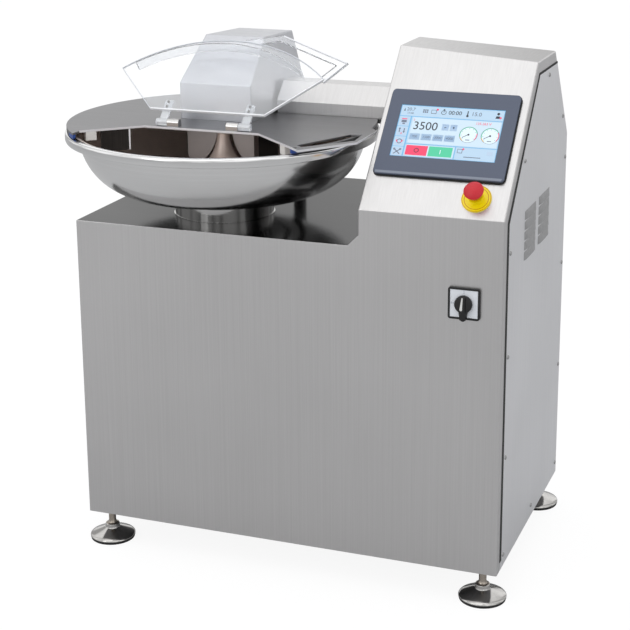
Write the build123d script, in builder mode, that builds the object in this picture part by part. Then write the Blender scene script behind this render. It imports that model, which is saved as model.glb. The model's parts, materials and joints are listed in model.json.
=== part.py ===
from build123d import *
import os
from math import asin, cos, hypot, radians, sin, sqrt, tan

os.makedirs("parts", exist_ok=True)

# Driving dimensions, in millimetres and degrees.
# Cabinet
deck_rise = 669
sheet = 2
fold_radius = 3
deck_lip = 22
tower_width = 298
tower_gap = 32
tower_front_rise = 745
slope_angle = 46.9
roof_rise_left = 1034
roof_rise_right = 1015
roof_back_inset = 146
tower_back_rise = 812
strip_width = 24
gasket_width = 3.5
gasket_end_rise = 19
landing_width = 45
landing_thickness = 3
post_size = 30
pan_thickness = 3

# Feet
foot_radius = 50
foot_inset_x = 37
foot_inset_y = 34
foot_height = 70
stem_radius = 8
pad_height = 3
running_fit = 0.05

# Bowl: the trough is a ring of circular section round the bowl's axis
bowl_offset_x = 266
bowl_offset_y = 177
rim_radius = 334
rim_rise = 187
rim_height = 19
rim_width = 15
trough_inset = 174
trough_radius = 148
trough_centre_rise = 26
body_inset = 160
body_radius = 132
body_centre_drop = 5
boss_radius = 100
boss_drop = 144
hub_tip_radius = 12
bowl_shaft_radius = 20
drive_flange_thickness = 8
collar_radius = 107
collar_height = 31
housing_radius = 55
housing_drop = 59

# Knives and spindle
knife_clearance = 3
knife_thickness = 5
knife_count = 3
knife_offset_x = 262
spacer_length = 12
knife_eye_radius = 27
knife_seat_radius = 15
journal_radius = 12
head_radius = 34
tube_radius = 20
tail_radius = 40
spindle_offset_x = 349
head_length = 76
tail_length = 66
knife_pulley_radius = 60
motor_pulley_radius = 75
pulley_width = 40
pulley_offset_x = 88
bracket_offset_x = 23
bracket_thickness = 12
spindle_end_offset = 73
belt_thickness = 6
belt_gap = 0.3
motor_rise = 190
motor_radius = 95
motor_length = 250
motor_shaft_radius = 14

# Arm housing over the spindle
arm_offset_x = 345
arm_front_offset = 44
arm_rise = 3.5
arm_height = 74
arm_wall_height = 36.5
arm_flat_depth = 50
arm_depth = 187

# Cover, hood and splash lid
rim_gap = 10
plate_thickness = 4
plate_inset_from_rim = 4
cut_half_width = 129
cut_depth_offset = 113
seal_width = 8
hood_offset_x = 256
hood_front_half = 82.5
hood_front_offset = 14
hood_wall_height = 77
hood_top_half = 70
hood_back_half = 65.5
hood_slot_half = 24
hood_slope_depth = 111
hood_height = 166.5
hood_roof_depth = 282
hood_back_height = 159
hood_depth = 340
hinge_gap = 24
hinge_margin = 25
hinge_rise = 6
hinge_pin_radius = 6
hinge_eye_radius = 12
hinge_post_width = 22
hinge_post_spread = 45
lid_hinge_offset = 100
lid_hinge_rise = 8
lid_thickness = 5
lid_open_angle = 41.5
lid_edge = 28
lid_half_width = 130
lid_corner = 232.6
lid_corner_reach = 131.7
lid_arc_radius = 342
skirt_inset = 28
skirt_depth = 24
barrel_radius = 8
lid_pin_radius = 3

# Controls on the tower
panel_width = 267
panel_height = 200
panel_offset_x = 147
panel_up = 182.5
panel_thickness = 8
screen_width = 215.5
screen_height = 121.5
screen_up = 185
stop_offset_x = 233
stop_up = 45
stop_ring_radius = 30
stop_head_radius = 20
switch_offset_x = 221
switch_drop = 94.5
switch_size = 64.5
gland_offset_x = 68
gland_rise = 60
gland_radius = 12

# Places, with the origin on the floor under the middle of the whole machine
cabinet_width = bowl_offset_x + rim_radius + tower_gap + tower_width
cabinet_depth = bowl_offset_y + rim_radius + hinge_gap + hinge_margin
cabinet_left = -(bowl_offset_x - rim_radius + cabinet_width - foot_inset_x + foot_radius) / 2
cabinet_front = -(bowl_offset_y - rim_radius + cabinet_depth - foot_inset_y + foot_radius) / 2
cabinet_right = cabinet_left + cabinet_width
cabinet_back = cabinet_front + cabinet_depth
cabinet_bottom = foot_height
deck_top = cabinet_bottom + deck_rise
tower_left = cabinet_right - tower_width
roof_back_depth = cabinet_depth - roof_back_inset
roof_left = cabinet_bottom + roof_rise_left
roof_right = cabinet_bottom + roof_rise_right
slope_foot = cabinet_bottom + tower_front_rise
slope = radians(slope_angle)
bowl_x = cabinet_left + bowl_offset_x
bowl_y = cabinet_front + bowl_offset_y
rim_top = deck_top + rim_rise
trough_offset = rim_radius - trough_inset
body_offset = rim_radius - body_inset
spindle_y = bowl_y + trough_offset
spindle_z = rim_top + trough_centre_rise
knife_radius = trough_radius - knife_clearance
knife_x = cabinet_left + knife_offset_x
spindle_x = cabinet_left + spindle_offset_x
pulley_x = tower_left + pulley_offset_x
bracket_x = tower_left + bracket_offset_x
spindle_end = tower_left + spindle_end_offset
motor_z = cabinet_bottom + motor_rise
plate_radius = rim_radius - plate_inset_from_rim
plate_bottom = rim_top + rim_gap
plate_top = plate_bottom + plate_thickness
hood_x = cabinet_left + hood_offset_x
hinge_y = cabinet_back - hinge_margin
hinge_z = plate_top + hinge_rise
flange_bottom = rim_top - boss_drop - drive_flange_thickness
arm_left = cabinet_left + arm_offset_x
arm_front = spindle_y - arm_front_offset
arm_bottom = rim_top + arm_rise
panel_x = tower_left + panel_offset_x
stop_x = tower_left + stop_offset_x
switch_x = tower_left + switch_offset_x
switch_z = deck_top - switch_drop
gland_x = tower_left + gland_offset_x
slope_normal = (0, -sin(slope), cos(slope))
slope_plane = Plane(origin=(0, cabinet_front, slope_foot), x_dir=(1, 0, 0), z_dir=slope_normal)
roof_plane = Plane(
    origin=(tower_left, cabinet_front, roof_left),
    x_dir=(tower_width, 0, roof_right - roof_left),
    z_dir=(roof_left - roof_right, 0, tower_width),
)


def save(piece, name):
    piece.part.label = name
    export_step(piece.part, f"parts/{name}.step")


def block(x0, x1, y0, y1, z0, z1, mode=Mode.ADD):
    with Locations(((x0 + x1) / 2, (y0 + y1) / 2, (z0 + z1) / 2)):
        Box(x1 - x0, y1 - y0, z1 - z0, mode=mode)


def bar_x(x0, x1, y, z, radius, mode=Mode.ADD):
    with BuildSketch(Plane.YZ.offset(x0)) as section:
        with Locations((y, z)):
            Circle(radius)
    extrude(section.sketch, amount=x1 - x0, mode=mode)


def bar_z(x, y, z0, z1, radius, mode=Mode.ADD):
    with BuildSketch(Plane.XY.offset(z0)) as section:
        with Locations((x, y)):
            Circle(radius)
    extrude(section.sketch, amount=z1 - z0, mode=mode)


# Outline of the tower's side in (y, z), set in from the sheet's outer face.
def side_outline(inset, back_inset, bottom, roof):
    back_slope = (roof_right - cabinet_bottom - tower_back_rise) / (cabinet_depth - roof_back_depth)
    back_shift = back_inset * hypot(1, back_slope)
    back_z = cabinet_bottom + tower_back_rise
    ceiling = roof - inset
    front_z = slope_foot + inset * tan(slope) - inset / cos(slope)
    slope_top_y = cabinet_front + (ceiling - slope_foot + inset / cos(slope)) / tan(slope)
    roof_back_y = cabinet_back - (ceiling - back_z + back_shift) / back_slope
    return [
        (cabinet_front + inset, bottom),
        (cabinet_front + inset, front_z),
        (slope_top_y, ceiling),
        (roof_back_y, ceiling),
        (cabinet_back - back_inset, back_z + back_slope * back_inset - back_shift),
        (cabinet_back - back_inset, bottom),
    ]


# Solid that fills the tower and the cabinet under it, inside a sheet of the given inset.
def tower_block(inset, bottom, rounding):
    with BuildPart() as solid:
        with BuildSketch(Plane.YZ.offset(tower_left + inset)):
            with BuildLine():
                Polyline(*side_outline(inset, inset, bottom, roof_left + 5), close=True)
            make_face()
        extrude(amount=tower_width - 2 * inset)
        split(bisect_by=roof_plane.offset(-inset), keep=Keep.BOTTOM)
        if rounding > 0:
            lowest = solid.edges().group_by(Axis.Z)[0]
            fillet(solid.edges() - lowest, radius=rounding)
    return solid.part


# ---- cabinet_shell: the folded front, tower slope, roof and back with its side return
deck_end_x = tower_left - deck_lip
with BuildPart() as cabinet_shell:
    add(tower_block(0, cabinet_bottom, fold_radius))
    with BuildSketch(Plane.XZ.offset(-cabinet_front - sheet)):
        with BuildLine():
            Polyline(
                (cabinet_left, cabinet_bottom),
                (tower_left + 2 * fold_radius, cabinet_bottom),
                (tower_left + 2 * fold_radius, deck_top + deck_lip),
                (tower_left, deck_top + deck_lip),
                (deck_end_x, deck_top),
                (cabinet_left, deck_top),
                close=True,
            )
        make_face()
    extrude(amount=sheet)
    add(tower_block(sheet, cabinet_bottom - 10, 0), mode=Mode.SUBTRACT)
    block(tower_left - 1, cabinet_right - sheet, cabinet_front + sheet, cabinet_back + 1,
          cabinet_bottom - 1, deck_top - sheet, mode=Mode.SUBTRACT)
    with BuildSketch(Plane.YZ.offset(cabinet_right - sheet)):
        with BuildLine():
            Polyline(*side_outline(strip_width, -1, cabinet_bottom - 1, roof_right), close=True)
        make_face()
    extrude(amount=sheet + 1, mode=Mode.SUBTRACT)
    with BuildSketch(slope_plane):
        with Locations((panel_x, panel_up)):
            Rectangle(panel_width - 20, panel_height - 20)
        with Locations((stop_x, stop_up)):
            Circle(11.2)
    extrude(amount=2 * sheet, both=True, mode=Mode.SUBTRACT)
    with BuildSketch(Plane.XZ.offset(-cabinet_front)):
        with Locations((switch_x, switch_z)):
            Circle(15)
    extrude(amount=sheet + 1, both=True, mode=Mode.SUBTRACT)
    bar_x(tower_left - 1, tower_left + sheet + 1, spindle_y, spindle_z, tube_radius + 4, mode=Mode.SUBTRACT)
save(cabinet_shell, "cabinet_shell")

# ---- deck_plate: the flat deck with its bent-up lip along the tower
with BuildPart() as deck_plate:
    with BuildSketch(Plane.XZ.offset(-cabinet_back)):
        with BuildLine():
            Polyline(
                (cabinet_left, deck_top - sheet),
                (cabinet_left, deck_top),
                (deck_end_x, deck_top),
                (tower_left, deck_top + deck_lip),
                (tower_left, deck_top + deck_lip - sheet * sqrt(2)),
                (deck_end_x + sheet * tan(radians(22.5)), deck_top - sheet),
                close=True,
            )
        make_face()
    extrude(amount=cabinet_depth - sheet)
    bar_z(bowl_x, bowl_y, deck_top - sheet - 1, deck_top + 1, housing_radius + 0.5, mode=Mode.SUBTRACT)
save(deck_plate, "deck_plate")

# ---- left_side_panel and rear_panel
with BuildPart() as left_side_panel:
    block(cabinet_left, cabinet_left + sheet, cabinet_front + sheet, cabinet_back,
          cabinet_bottom, deck_top - sheet)
save(left_side_panel, "left_side_panel")

vent_length = 170
vent_height = 8
vent_spacing = 25
vent_pitch = 26
vent_rows = 6
vent_drop = 249
with BuildPart() as rear_panel:
    block(cabinet_left + sheet, cabinet_right - sheet, cabinet_back - sheet, cabinet_back,
          cabinet_bottom, deck_top - sheet)
    with BuildSketch(Plane.XZ.offset(-cabinet_back + sheet)):
        with Locations((cabinet_left + cabinet_width / 2, deck_top - vent_drop)):
            with GridLocations(vent_length + vent_spacing, vent_pitch, 2, vent_rows):
                Rectangle(vent_length, vent_height)
        with Locations((gland_x, cabinet_bottom + gland_rise)):
            Circle(gland_radius + 0.3)
    extrude(amount=-2 * sheet, mode=Mode.SUBTRACT)
save(rear_panel, "rear_panel")

# ---- right_side_panel: flat panel with two groups of pressed louvres
louvre_height = 17
louvre_depth = 6
louvre_pitch = 27
louvre_rows = 6
louvre_length = 120
louvre_places = [(238, 664), (384, 666)]


def louvre_rows_at(panel_x_face, mode, inset):
    for depth_offset, rise in louvre_places:
        for row in range(louvre_rows):
            centre_z = cabinet_bottom + rise + (row - (louvre_rows - 1) / 2) * louvre_pitch
            y0 = cabinet_front + depth_offset - louvre_length / 2 + inset
            with BuildSketch(Plane.XZ.offset(-y0)) as section:
                with BuildLine():
                    Polyline(
                        (panel_x_face, centre_z - louvre_height / 2 - inset),
                        (panel_x_face + louvre_depth - inset, centre_z - louvre_height / 2 - inset),
                        (panel_x_face, centre_z + louvre_height / 2 - 2 * inset),
                        close=True,
                    )
                make_face()
            extrude(section.sketch, amount=-(louvre_length - 2 * inset), mode=mode)


with BuildPart() as right_side_panel:
    with BuildSketch(Plane.YZ.offset(cabinet_right - sheet)):
        with BuildLine():
            Polyline(*side_outline(strip_width + gasket_width, 0, cabinet_bottom, roof_right), close=True)
        make_face()
    extrude(amount=sheet)
    block(cabinet_right - sheet, cabinet_right, cabinet_front + strip_width, cabinet_front + strip_width + gasket_width,
          cabinet_bottom, cabinet_bottom + gasket_end_rise)
    louvre_rows_at(cabinet_right, Mode.ADD, 0)
    louvre_rows_at(cabinet_right - sheet - 0.01, Mode.SUBTRACT, sheet * 0.75)
save(right_side_panel, "right_side_panel")

# ---- side_panel_gasket: the black line between the shell's return and the side panel
with BuildPart() as side_panel_gasket:
    with BuildSketch(Plane.YZ.offset(cabinet_right - sheet)):
        with BuildLine():
            Polyline(*side_outline(strip_width, 0, cabinet_bottom + gasket_end_rise, roof_right), close=True)
        make_face()
        with BuildLine():
            Polyline(*side_outline(strip_width + gasket_width, 0, cabinet_bottom, roof_right), close=True)
        make_face(mode=Mode.SUBTRACT)
    extrude(amount=sheet - 1)
save(side_panel_gasket, "side_panel_gasket")

# ---- side_panel_screws: domed screws round the edge of the side panel
screw_head_radius = 4.5
screw_head_height = 2.2
screw_inset = 14
front_column = [(strip_width + gasket_width + 22.5, 26 + 214.5 * step) for step in range(4)]
back_column = [(cabinet_depth - screw_inset, 28 + 244 * step) for step in range(4)]
slope_screw = (155, 832)
roof_screws = [(roof_back_depth - 56, roof_rise_right - 42), (cabinet_depth - 53, tower_back_rise + 47)]
screw_places = front_column + back_column + [(cabinet_depth / 2 + 20, 27), slope_screw] + roof_screws
with BuildPart() as side_panel_screws:
    for depth_offset, rise in screw_places:
        y = cabinet_front + depth_offset
        z = cabinet_bottom + rise
        with BuildSketch(Plane.YZ.offset(cabinet_right)):
            with Locations((y, z)):
                RegularPolygon(radius=screw_head_radius, side_count=12)
        extrude(amount=screw_head_height)
save(side_panel_screws, "side_panel_screws")

# ---- base_frame: pan, posts, rails and foot bosses
inner_left = cabinet_left + sheet
inner_right = cabinet_right - sheet
inner_front = cabinet_front + sheet
inner_back = cabinet_back - sheet
deck_under = deck_top - sheet
flange_x = inner_right - landing_thickness
foot_places = [
    (cabinet_left + foot_inset_x, cabinet_front + foot_inset_y),
    (cabinet_right - foot_inset_x, cabinet_front + foot_inset_y),
    (cabinet_left + foot_inset_x, cabinet_back - foot_inset_y),
    (cabinet_right - foot_inset_x, cabinet_back - foot_inset_y),
]
rail_offset = housing_radius + 20 + post_size / 2
with BuildPart() as base_frame:
    block(inner_left, inner_right, inner_front, inner_back, cabinet_bottom, cabinet_bottom + pan_thickness)
    for x0 in (inner_left, flange_x - post_size):
        for y0 in (inner_front, inner_back - post_size):
            block(x0, x0 + post_size, y0, y0 + post_size, cabinet_bottom, deck_under)
        block(x0, x0 + post_size, inner_front, inner_back, deck_under - post_size, deck_under)
    for y0 in (inner_front, inner_back - post_size):
        block(inner_left, flange_x, y0, y0 + post_size, deck_under - post_size, deck_under)
    for x in (bowl_x - rail_offset, bowl_x + rail_offset, bracket_x + bracket_thickness / 2):
        block(x - post_size / 2, x + post_size / 2, inner_front, inner_back, deck_under - post_size, deck_under)
    for x, y in foot_places:
        bar_z(x, y, cabinet_bottom, cabinet_bottom + 35, 18)
    for x, y in foot_places:
        bar_z(x, y, cabinet_bottom - 1, cabinet_bottom + 36, stem_radius + running_fit, mode=Mode.SUBTRACT)
save(base_frame, "base_frame")

# ---- side_landing: folded flange round the side opening that the side panel is screwed to
with BuildPart() as side_landing:
    with BuildSketch(Plane.YZ.offset(flange_x)):
        with BuildLine():
            Polyline(*side_outline(sheet, sheet, cabinet_bottom + pan_thickness, roof_right), close=True)
        make_face()
        with BuildLine():
            Polyline(*side_outline(sheet + landing_width, sheet + landing_width,
                                   cabinet_bottom + landing_width, roof_right), close=True)
        make_face(mode=Mode.SUBTRACT)
    extrude(amount=inner_right - flange_x)
save(side_landing, "side_landing")

# ---- spindle_bracket: plate on the frame's middle rail that holds the spindle's tail
bracket_radius = 70
with BuildPart() as spindle_bracket:
    with BuildSketch(Plane.YZ.offset(bracket_x)):
        with Locations((spindle_y, (deck_under + spindle_z) / 2)):
            Rectangle(2 * bracket_radius, spindle_z - deck_under)
        with Locations((spindle_y, spindle_z)):
            Circle(bracket_radius)
    extrude(amount=bracket_thickness)
    bar_x(bracket_x - 1, bracket_x + bracket_thickness + 1, spindle_y, spindle_z, tail_radius + 0.3,
          mode=Mode.SUBTRACT)
save(spindle_bracket, "spindle_bracket")

# ---- feet: a turned disc with its threaded stem, on a rubber pad
disc_edge = 5
disc_height = 19
socket_radius = 14
socket_top = 33
stem_top = foot_height + 32
nut_radius = 11.5
nut_bottom = 36
nut_height = 14
foot_names = ["front_left", "front_right", "rear_left", "rear_right"]
for corner, (x, y) in zip(foot_names, foot_places):
    foot_plane = Plane(origin=(x, y, 0), x_dir=(1, 0, 0), z_dir=(0, -1, 0))
    with BuildPart() as foot:
        with BuildSketch(foot_plane):
            with BuildLine():
                Polyline(
                    (0, pad_height), (foot_radius, pad_height), (foot_radius, pad_height + disc_edge),
                    (socket_radius + 3, pad_height + disc_height), (socket_radius, socket_top),
                    (stem_radius, socket_top), (stem_radius, stem_top), (0, stem_top), close=True,
                )
            make_face()
        revolve(axis=Axis((x, y, 0), (0, 0, 1)))
        with BuildSketch(Plane.XY.offset(nut_bottom)):
            with Locations((x, y)):
                RegularPolygon(radius=nut_radius, side_count=6)
        extrude(amount=nut_height)
    save(foot, f"{corner}_foot")
    with BuildPart() as foot_pad:
        bar_z(x, y, 0, pad_height, foot_radius - 1.5)
    save(foot_pad, f"{corner}_foot_pad")

# ---- bowl_bearing_housing: the polished collar on the deck and its body below
housing_bottom = deck_top - housing_drop
collar_top = deck_top + collar_height
bowl_plane = Plane(origin=(bowl_x, bowl_y, 0), x_dir=(1, 0, 0), z_dir=(0, -1, 0))
bowl_axis = Axis((bowl_x, bowl_y, 0), (0, 0, 1))
bearing_radius = 35
bearing_height = 18
bearing_fit = 0.02
with BuildPart() as bowl_bearing_housing:
    with BuildSketch(bowl_plane):
        with BuildLine():
            Polyline(
                (28, housing_bottom), (housing_radius, housing_bottom), (housing_radius, deck_top),
                (collar_radius + 11, deck_top), (collar_radius + 11, deck_top + 3), (collar_radius, deck_top + 3),
                (collar_radius, collar_top - 3), (collar_radius - 3, collar_top),
                (bearing_radius, collar_top), (bearing_radius, collar_top - bearing_height),
                (28, collar_top - bearing_height), close=True,
            )
        make_face()
    revolve(axis=bowl_axis)
    bar_z(bowl_x, bowl_y, housing_bottom - 1, housing_bottom + bearing_height, bearing_radius, mode=Mode.SUBTRACT)
save(bowl_bearing_housing, "bowl_bearing_housing")

with BuildPart() as bowl_bearings:
    for z0 in (collar_top - bearing_height, housing_bottom):
        bar_z(bowl_x, bowl_y, z0, z0 + bearing_height, bearing_radius - bearing_fit)
        bar_z(bowl_x, bowl_y, z0, z0 + bearing_height, bowl_shaft_radius + running_fit, mode=Mode.SUBTRACT)
save(bowl_bearings, "bowl_bearings")

# ---- bowl_gearmotor: closed right-angle gear motor flanged to the bearing housing
gearbox_height = 95
with BuildPart() as bowl_gearmotor:
    block(bowl_x - 62, bowl_x + 62, bowl_y - 62, bowl_y + 62, housing_bottom - gearbox_height, housing_bottom)
    bar_x(bowl_x + 62, bowl_x + 250, bowl_y, housing_bottom - gearbox_height / 2, 46)
    bar_z(bowl_x, bowl_y, housing_bottom - 60, housing_bottom + 1, bowl_shaft_radius + 1, mode=Mode.SUBTRACT)
save(bowl_gearmotor, "bowl_gearmotor")

# ---- bowl_shaft: shaft with its drive flange and centring spigot
shaft_bottom = housing_bottom - 55
flange_top = flange_bottom + drive_flange_thickness
spigot_top = flange_top + 34
with BuildPart() as bowl_shaft:
    bar_z(bowl_x, bowl_y, shaft_bottom, spigot_top, bowl_shaft_radius)
    bar_z(bowl_x, bowl_y, flange_bottom, flange_top, boss_radius - 5)
save(bowl_shaft, "bowl_shaft")

# ---- bowl: rim, rounded body and a trough that sweeps up into the flared hub
body_centre_z = rim_top - body_centre_drop
rim_bottom = rim_top - rim_height
boss_joint_z = body_centre_z - sqrt(body_radius**2 - (body_offset - boss_radius) ** 2)
body_edge_r = body_offset + sqrt(body_radius**2 - (body_centre_z - rim_bottom) ** 2)
trough_edge_z = rim_top - 8
trough_edge_r = trough_offset + sqrt(trough_radius**2 - (spindle_z - trough_edge_z) ** 2)
hub_foot_angle = radians(20)
hub_foot_r = trough_offset - trough_radius * sin(hub_foot_angle)
hub_foot_z = spindle_z - trough_radius * cos(hub_foot_angle)
hub_top = plate_bottom - 16
hub_curve = [
    (hub_foot_r, hub_foot_z),
    (hub_foot_r - 43, hub_foot_z + 43 * tan(hub_foot_angle)),
    (hub_tip_radius + 2, hub_foot_z + 29),
    (hub_tip_radius, hub_top),
]
with BuildPart() as bowl:
    with BuildSketch(bowl_plane):
        with BuildLine():
            Polyline(
                (0, hub_top), (0, spigot_top + 1), (bowl_shaft_radius + running_fit, spigot_top + 1),
                (bowl_shaft_radius + running_fit, flange_top), (boss_radius, flange_top),
                (boss_radius, boss_joint_z),
            )
            ThreePointArc((boss_radius, boss_joint_z), (body_offset, body_centre_z - body_radius),
                          (body_edge_r, rim_bottom))
            Polyline(
                (body_edge_r, rim_bottom), (rim_radius - 3, rim_bottom), (rim_radius, rim_bottom + 3),
                (rim_radius, rim_top - 4), (rim_radius - 4, rim_top), (rim_radius - rim_width, rim_top),
                (trough_edge_r + 4, trough_edge_z + 4), (trough_edge_r, trough_edge_z),
            )
            ThreePointArc(
                (trough_edge_r, trough_edge_z),
                (trough_offset + trough_radius * sin(radians(30)), spindle_z - trough_radius * cos(radians(30))),
                (hub_foot_r, hub_foot_z),
            )
            Bezier(*hub_curve)
            Line((hub_tip_radius, hub_top), (0, hub_top))
        make_face()
    revolve(axis=bowl_axis)
save(bowl, "bowl")

# ---- spindle_housing: bearing head at the knives, tube over the rim, flanged tail in the tower
tail_x = spindle_end - tail_length
bearing_length = 20
seal_length = 6
spindle_plane = Plane(origin=(0, spindle_y, spindle_z), x_dir=(1, 0, 0), z_dir=(0, -1, 0))
spindle_axis = Axis((0, spindle_y, spindle_z), (1, 0, 0))
with BuildPart() as spindle_housing:
    with BuildSketch(spindle_plane):
        with BuildLine():
            Polyline(
                (spindle_x, 30), (spindle_x, head_radius - 3), (spindle_x + 3, head_radius),
                (spindle_x + head_length, head_radius), (spindle_x + head_length, tube_radius),
                (bracket_x - 15, tube_radius), (bracket_x - 15, tail_radius),
                (bracket_x + bracket_thickness, tail_radius), (bracket_x + bracket_thickness, tail_radius + 18),
                (bracket_x + bracket_thickness + 9, tail_radius + 18), (bracket_x + bracket_thickness + 9, tail_radius),
                (spindle_end, tail_radius), (spindle_end, 30), (spindle_end - bearing_length, 30),
                (spindle_end - bearing_length, journal_radius + 2),
                (spindle_x + seal_length + bearing_length, journal_radius + 2),
                (spindle_x + seal_length + bearing_length, 30), close=True,
            )
        make_face()
    revolve(axis=spindle_axis)
save(spindle_housing, "spindle_housing")

with BuildPart() as spindle_bearings:
    for x0 in (spindle_x + seal_length, spindle_end - bearing_length):
        bar_x(x0, x0 + bearing_length, spindle_y, spindle_z, 30 - bearing_fit)
        bar_x(x0, x0 + bearing_length, spindle_y, spindle_z, journal_radius + running_fit, mode=Mode.SUBTRACT)
save(spindle_bearings, "spindle_bearings")

with BuildPart() as spindle_seal:
    bar_x(spindle_x, spindle_x + seal_length, spindle_y, spindle_z, 30 - bearing_fit)
    bar_x(spindle_x, spindle_x + seal_length, spindle_y, spindle_z, knife_seat_radius + running_fit,
          mode=Mode.SUBTRACT)
save(spindle_seal, "spindle_seal")

# ---- knife_shaft and what it carries
stack_length = knife_count * knife_thickness + (knife_count - 1) * spacer_length
stack_end = knife_x + stack_length
nut_length = 12
with BuildPart() as knife_shaft:
    bar_x(knife_x - nut_length - 4, spindle_x + seal_length, spindle_y, spindle_z, knife_seat_radius)
    bar_x(stack_end, stack_end + 30, spindle_y, spindle_z, knife_eye_radius - 2)
    bar_x(spindle_x + seal_length, pulley_x + pulley_width, spindle_y, spindle_z, journal_radius)
save(knife_shaft, "knife_shaft")


# Sickle blade about the shaft: round eye, curved cutting edge out to the tip, hollow back.
def sickle(turn):
    def polar(radius, angle):
        return (radius * cos(radians(angle + turn)), radius * sin(radians(angle + turn)))

    with BuildSketch() as blade:
        with BuildLine():
            ThreePointArc(polar(knife_eye_radius - 2, -80), polar(knife_radius * 0.74, -32), polar(knife_radius, 42))
            Line(polar(knife_radius, 42), polar(knife_radius - 14, 47))
            ThreePointArc(polar(knife_radius - 14, 47), polar(knife_radius * 0.56, 42), polar(knife_eye_radius - 2, 80))
            Line(polar(knife_eye_radius - 2, 80), polar(knife_eye_radius - 2, -80))
        make_face()
        Circle(knife_radius, mode=Mode.INTERSECT)
        Circle(knife_eye_radius)
        Circle(knife_seat_radius + running_fit, mode=Mode.SUBTRACT)
    return blade.sketch


with BuildPart() as knives:
    for number in range(knife_count):
        x0 = knife_x + number * (knife_thickness + spacer_length)
        blade_plane = Plane(origin=(x0, spindle_y, spindle_z), x_dir=(0, 1, 0), z_dir=(1, 0, 0))
        extrude(blade_plane * sickle(number * 360 / knife_count), amount=knife_thickness)
save(knives, "knives")

with BuildPart() as knife_spacers:
    for number in range(knife_count - 1):
        x0 = knife_x + number * (knife_thickness + spacer_length) + knife_thickness
        bar_x(x0, x0 + spacer_length, spindle_y, spindle_z, knife_eye_radius - 3)
        bar_x(x0, x0 + spacer_length, spindle_y, spindle_z, knife_seat_radius + running_fit, mode=Mode.SUBTRACT)
save(knife_spacers, "knife_spacers")

with BuildPart() as knife_nut:
    with BuildSketch(Plane.YZ.offset(knife_x - nut_length)):
        with Locations((spindle_y, spindle_z)):
            RegularPolygon(radius=knife_eye_radius - 3, side_count=6)
            Circle(knife_seat_radius + running_fit, mode=Mode.SUBTRACT)
    extrude(amount=nut_length)
save(knife_nut, "knife_nut")


def pulley(radius, y, z, bore):
    bar_x(pulley_x, pulley_x + pulley_width, y, z, radius)
    bar_x(pulley_x, pulley_x + 5, y, z, radius + 5)
    bar_x(pulley_x + pulley_width - 5, pulley_x + pulley_width, y, z, radius + 5)
    if bore > 0:
        bar_x(pulley_x - 1, pulley_x + pulley_width + 1, y, z, bore, mode=Mode.SUBTRACT)


with BuildPart() as knife_pulley:
    pulley(knife_pulley_radius, spindle_y, spindle_z, journal_radius + running_fit)
save(knife_pulley, "knife_pulley")

# ---- motor, its pulley and the belt
motor_end = pulley_x - 20
with BuildPart() as knife_motor:
    bar_x(motor_end - motor_length, motor_end, spindle_y, motor_z, motor_radius)
    block(motor_end - motor_length + 25, motor_end - 25, spindle_y - 75, spindle_y + 75,
          cabinet_bottom + pan_thickness, motor_z - 40)
    bar_x(motor_end - 60, motor_end + 1, spindle_y, motor_z, motor_shaft_radius + running_fit, mode=Mode.SUBTRACT)
save(knife_motor, "knife_motor")

with BuildPart() as motor_pulley:
    pulley(motor_pulley_radius, spindle_y, motor_z, 0)
    bar_x(motor_end - 58, pulley_x, spindle_y, motor_z, motor_shaft_radius)
save(motor_pulley, "motor_pulley")


# Outline of an open loop round both pulleys, at the given distance from their faces.
def belt_outline(gap):
    low = motor_pulley_radius + gap
    high = knife_pulley_radius + gap
    lean = asin((low - high) / (spindle_z - motor_z))
    low_right = (spindle_y + low * cos(lean), motor_z + low * sin(lean))
    low_left = (spindle_y - low * cos(lean), motor_z + low * sin(lean))
    high_right = (spindle_y + high * cos(lean), spindle_z + high * sin(lean))
    high_left = (spindle_y - high * cos(lean), spindle_z + high * sin(lean))
    with BuildSketch(Plane.YZ.offset(pulley_x + 6)) as loop:
        with BuildLine():
            ThreePointArc(low_left, (spindle_y, motor_z - low), low_right)
            Line(low_right, high_right)
            ThreePointArc(high_right, (spindle_y, spindle_z + high), high_left)
            Line(high_left, low_left)
        make_face()
    return loop.sketch


with BuildPart() as drive_belt:
    extrude(belt_outline(belt_gap + belt_thickness), amount=pulley_width - 12)
    extrude(belt_outline(belt_gap), amount=pulley_width - 12, mode=Mode.SUBTRACT)
save(drive_belt, "drive_belt")

# ---- arm_housing: folded cover over the spindle, closed at the knives and open into the tower


def arm_outline(inset):
    tilt = inset * tan(radians(22.5))
    back_slope = arm_height / (arm_depth - arm_wall_height - arm_flat_depth)
    back_shift = inset * hypot(1, back_slope) / back_slope
    top = arm_bottom + arm_height - inset
    back = arm_front + arm_depth
    return [
        (arm_front + inset, arm_bottom + inset),
        (arm_front + inset, arm_bottom + arm_wall_height - tilt),
        (arm_front + arm_height - arm_wall_height + tilt, top),
        (back - back_shift - (arm_height - inset) / back_slope, top),
        (back - back_shift - inset / back_slope, arm_bottom + inset),
    ]


with BuildPart() as arm_housing:
    with BuildSketch(Plane.YZ.offset(arm_left)):
        with BuildLine():
            Polyline(*arm_outline(0), close=True)
        make_face()
    extrude(amount=tower_left - arm_left)
    with BuildSketch(Plane.YZ.offset(arm_left + sheet)):
        with BuildLine():
            Polyline(*arm_outline(sheet), close=True)
        make_face()
    extrude(amount=tower_left - arm_left, mode=Mode.SUBTRACT)
    bar_x(arm_left - 1, spindle_x + head_length + 2, spindle_y, spindle_z, head_radius + 1, mode=Mode.SUBTRACT)
save(arm_housing, "arm_housing")

# ---- control_cabinet, hung on the rear panel inside the tower
control_width = 220
control_depth = 115
control_rise = 150
control_height = 410
control_right = flange_x - post_size - 15
with BuildPart() as control_cabinet:
    block(control_right - control_width, control_right, inner_back - control_depth, inner_back,
          cabinet_bottom + control_rise, cabinet_bottom + control_rise + control_height)
save(control_cabinet, "control_cabinet")

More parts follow.
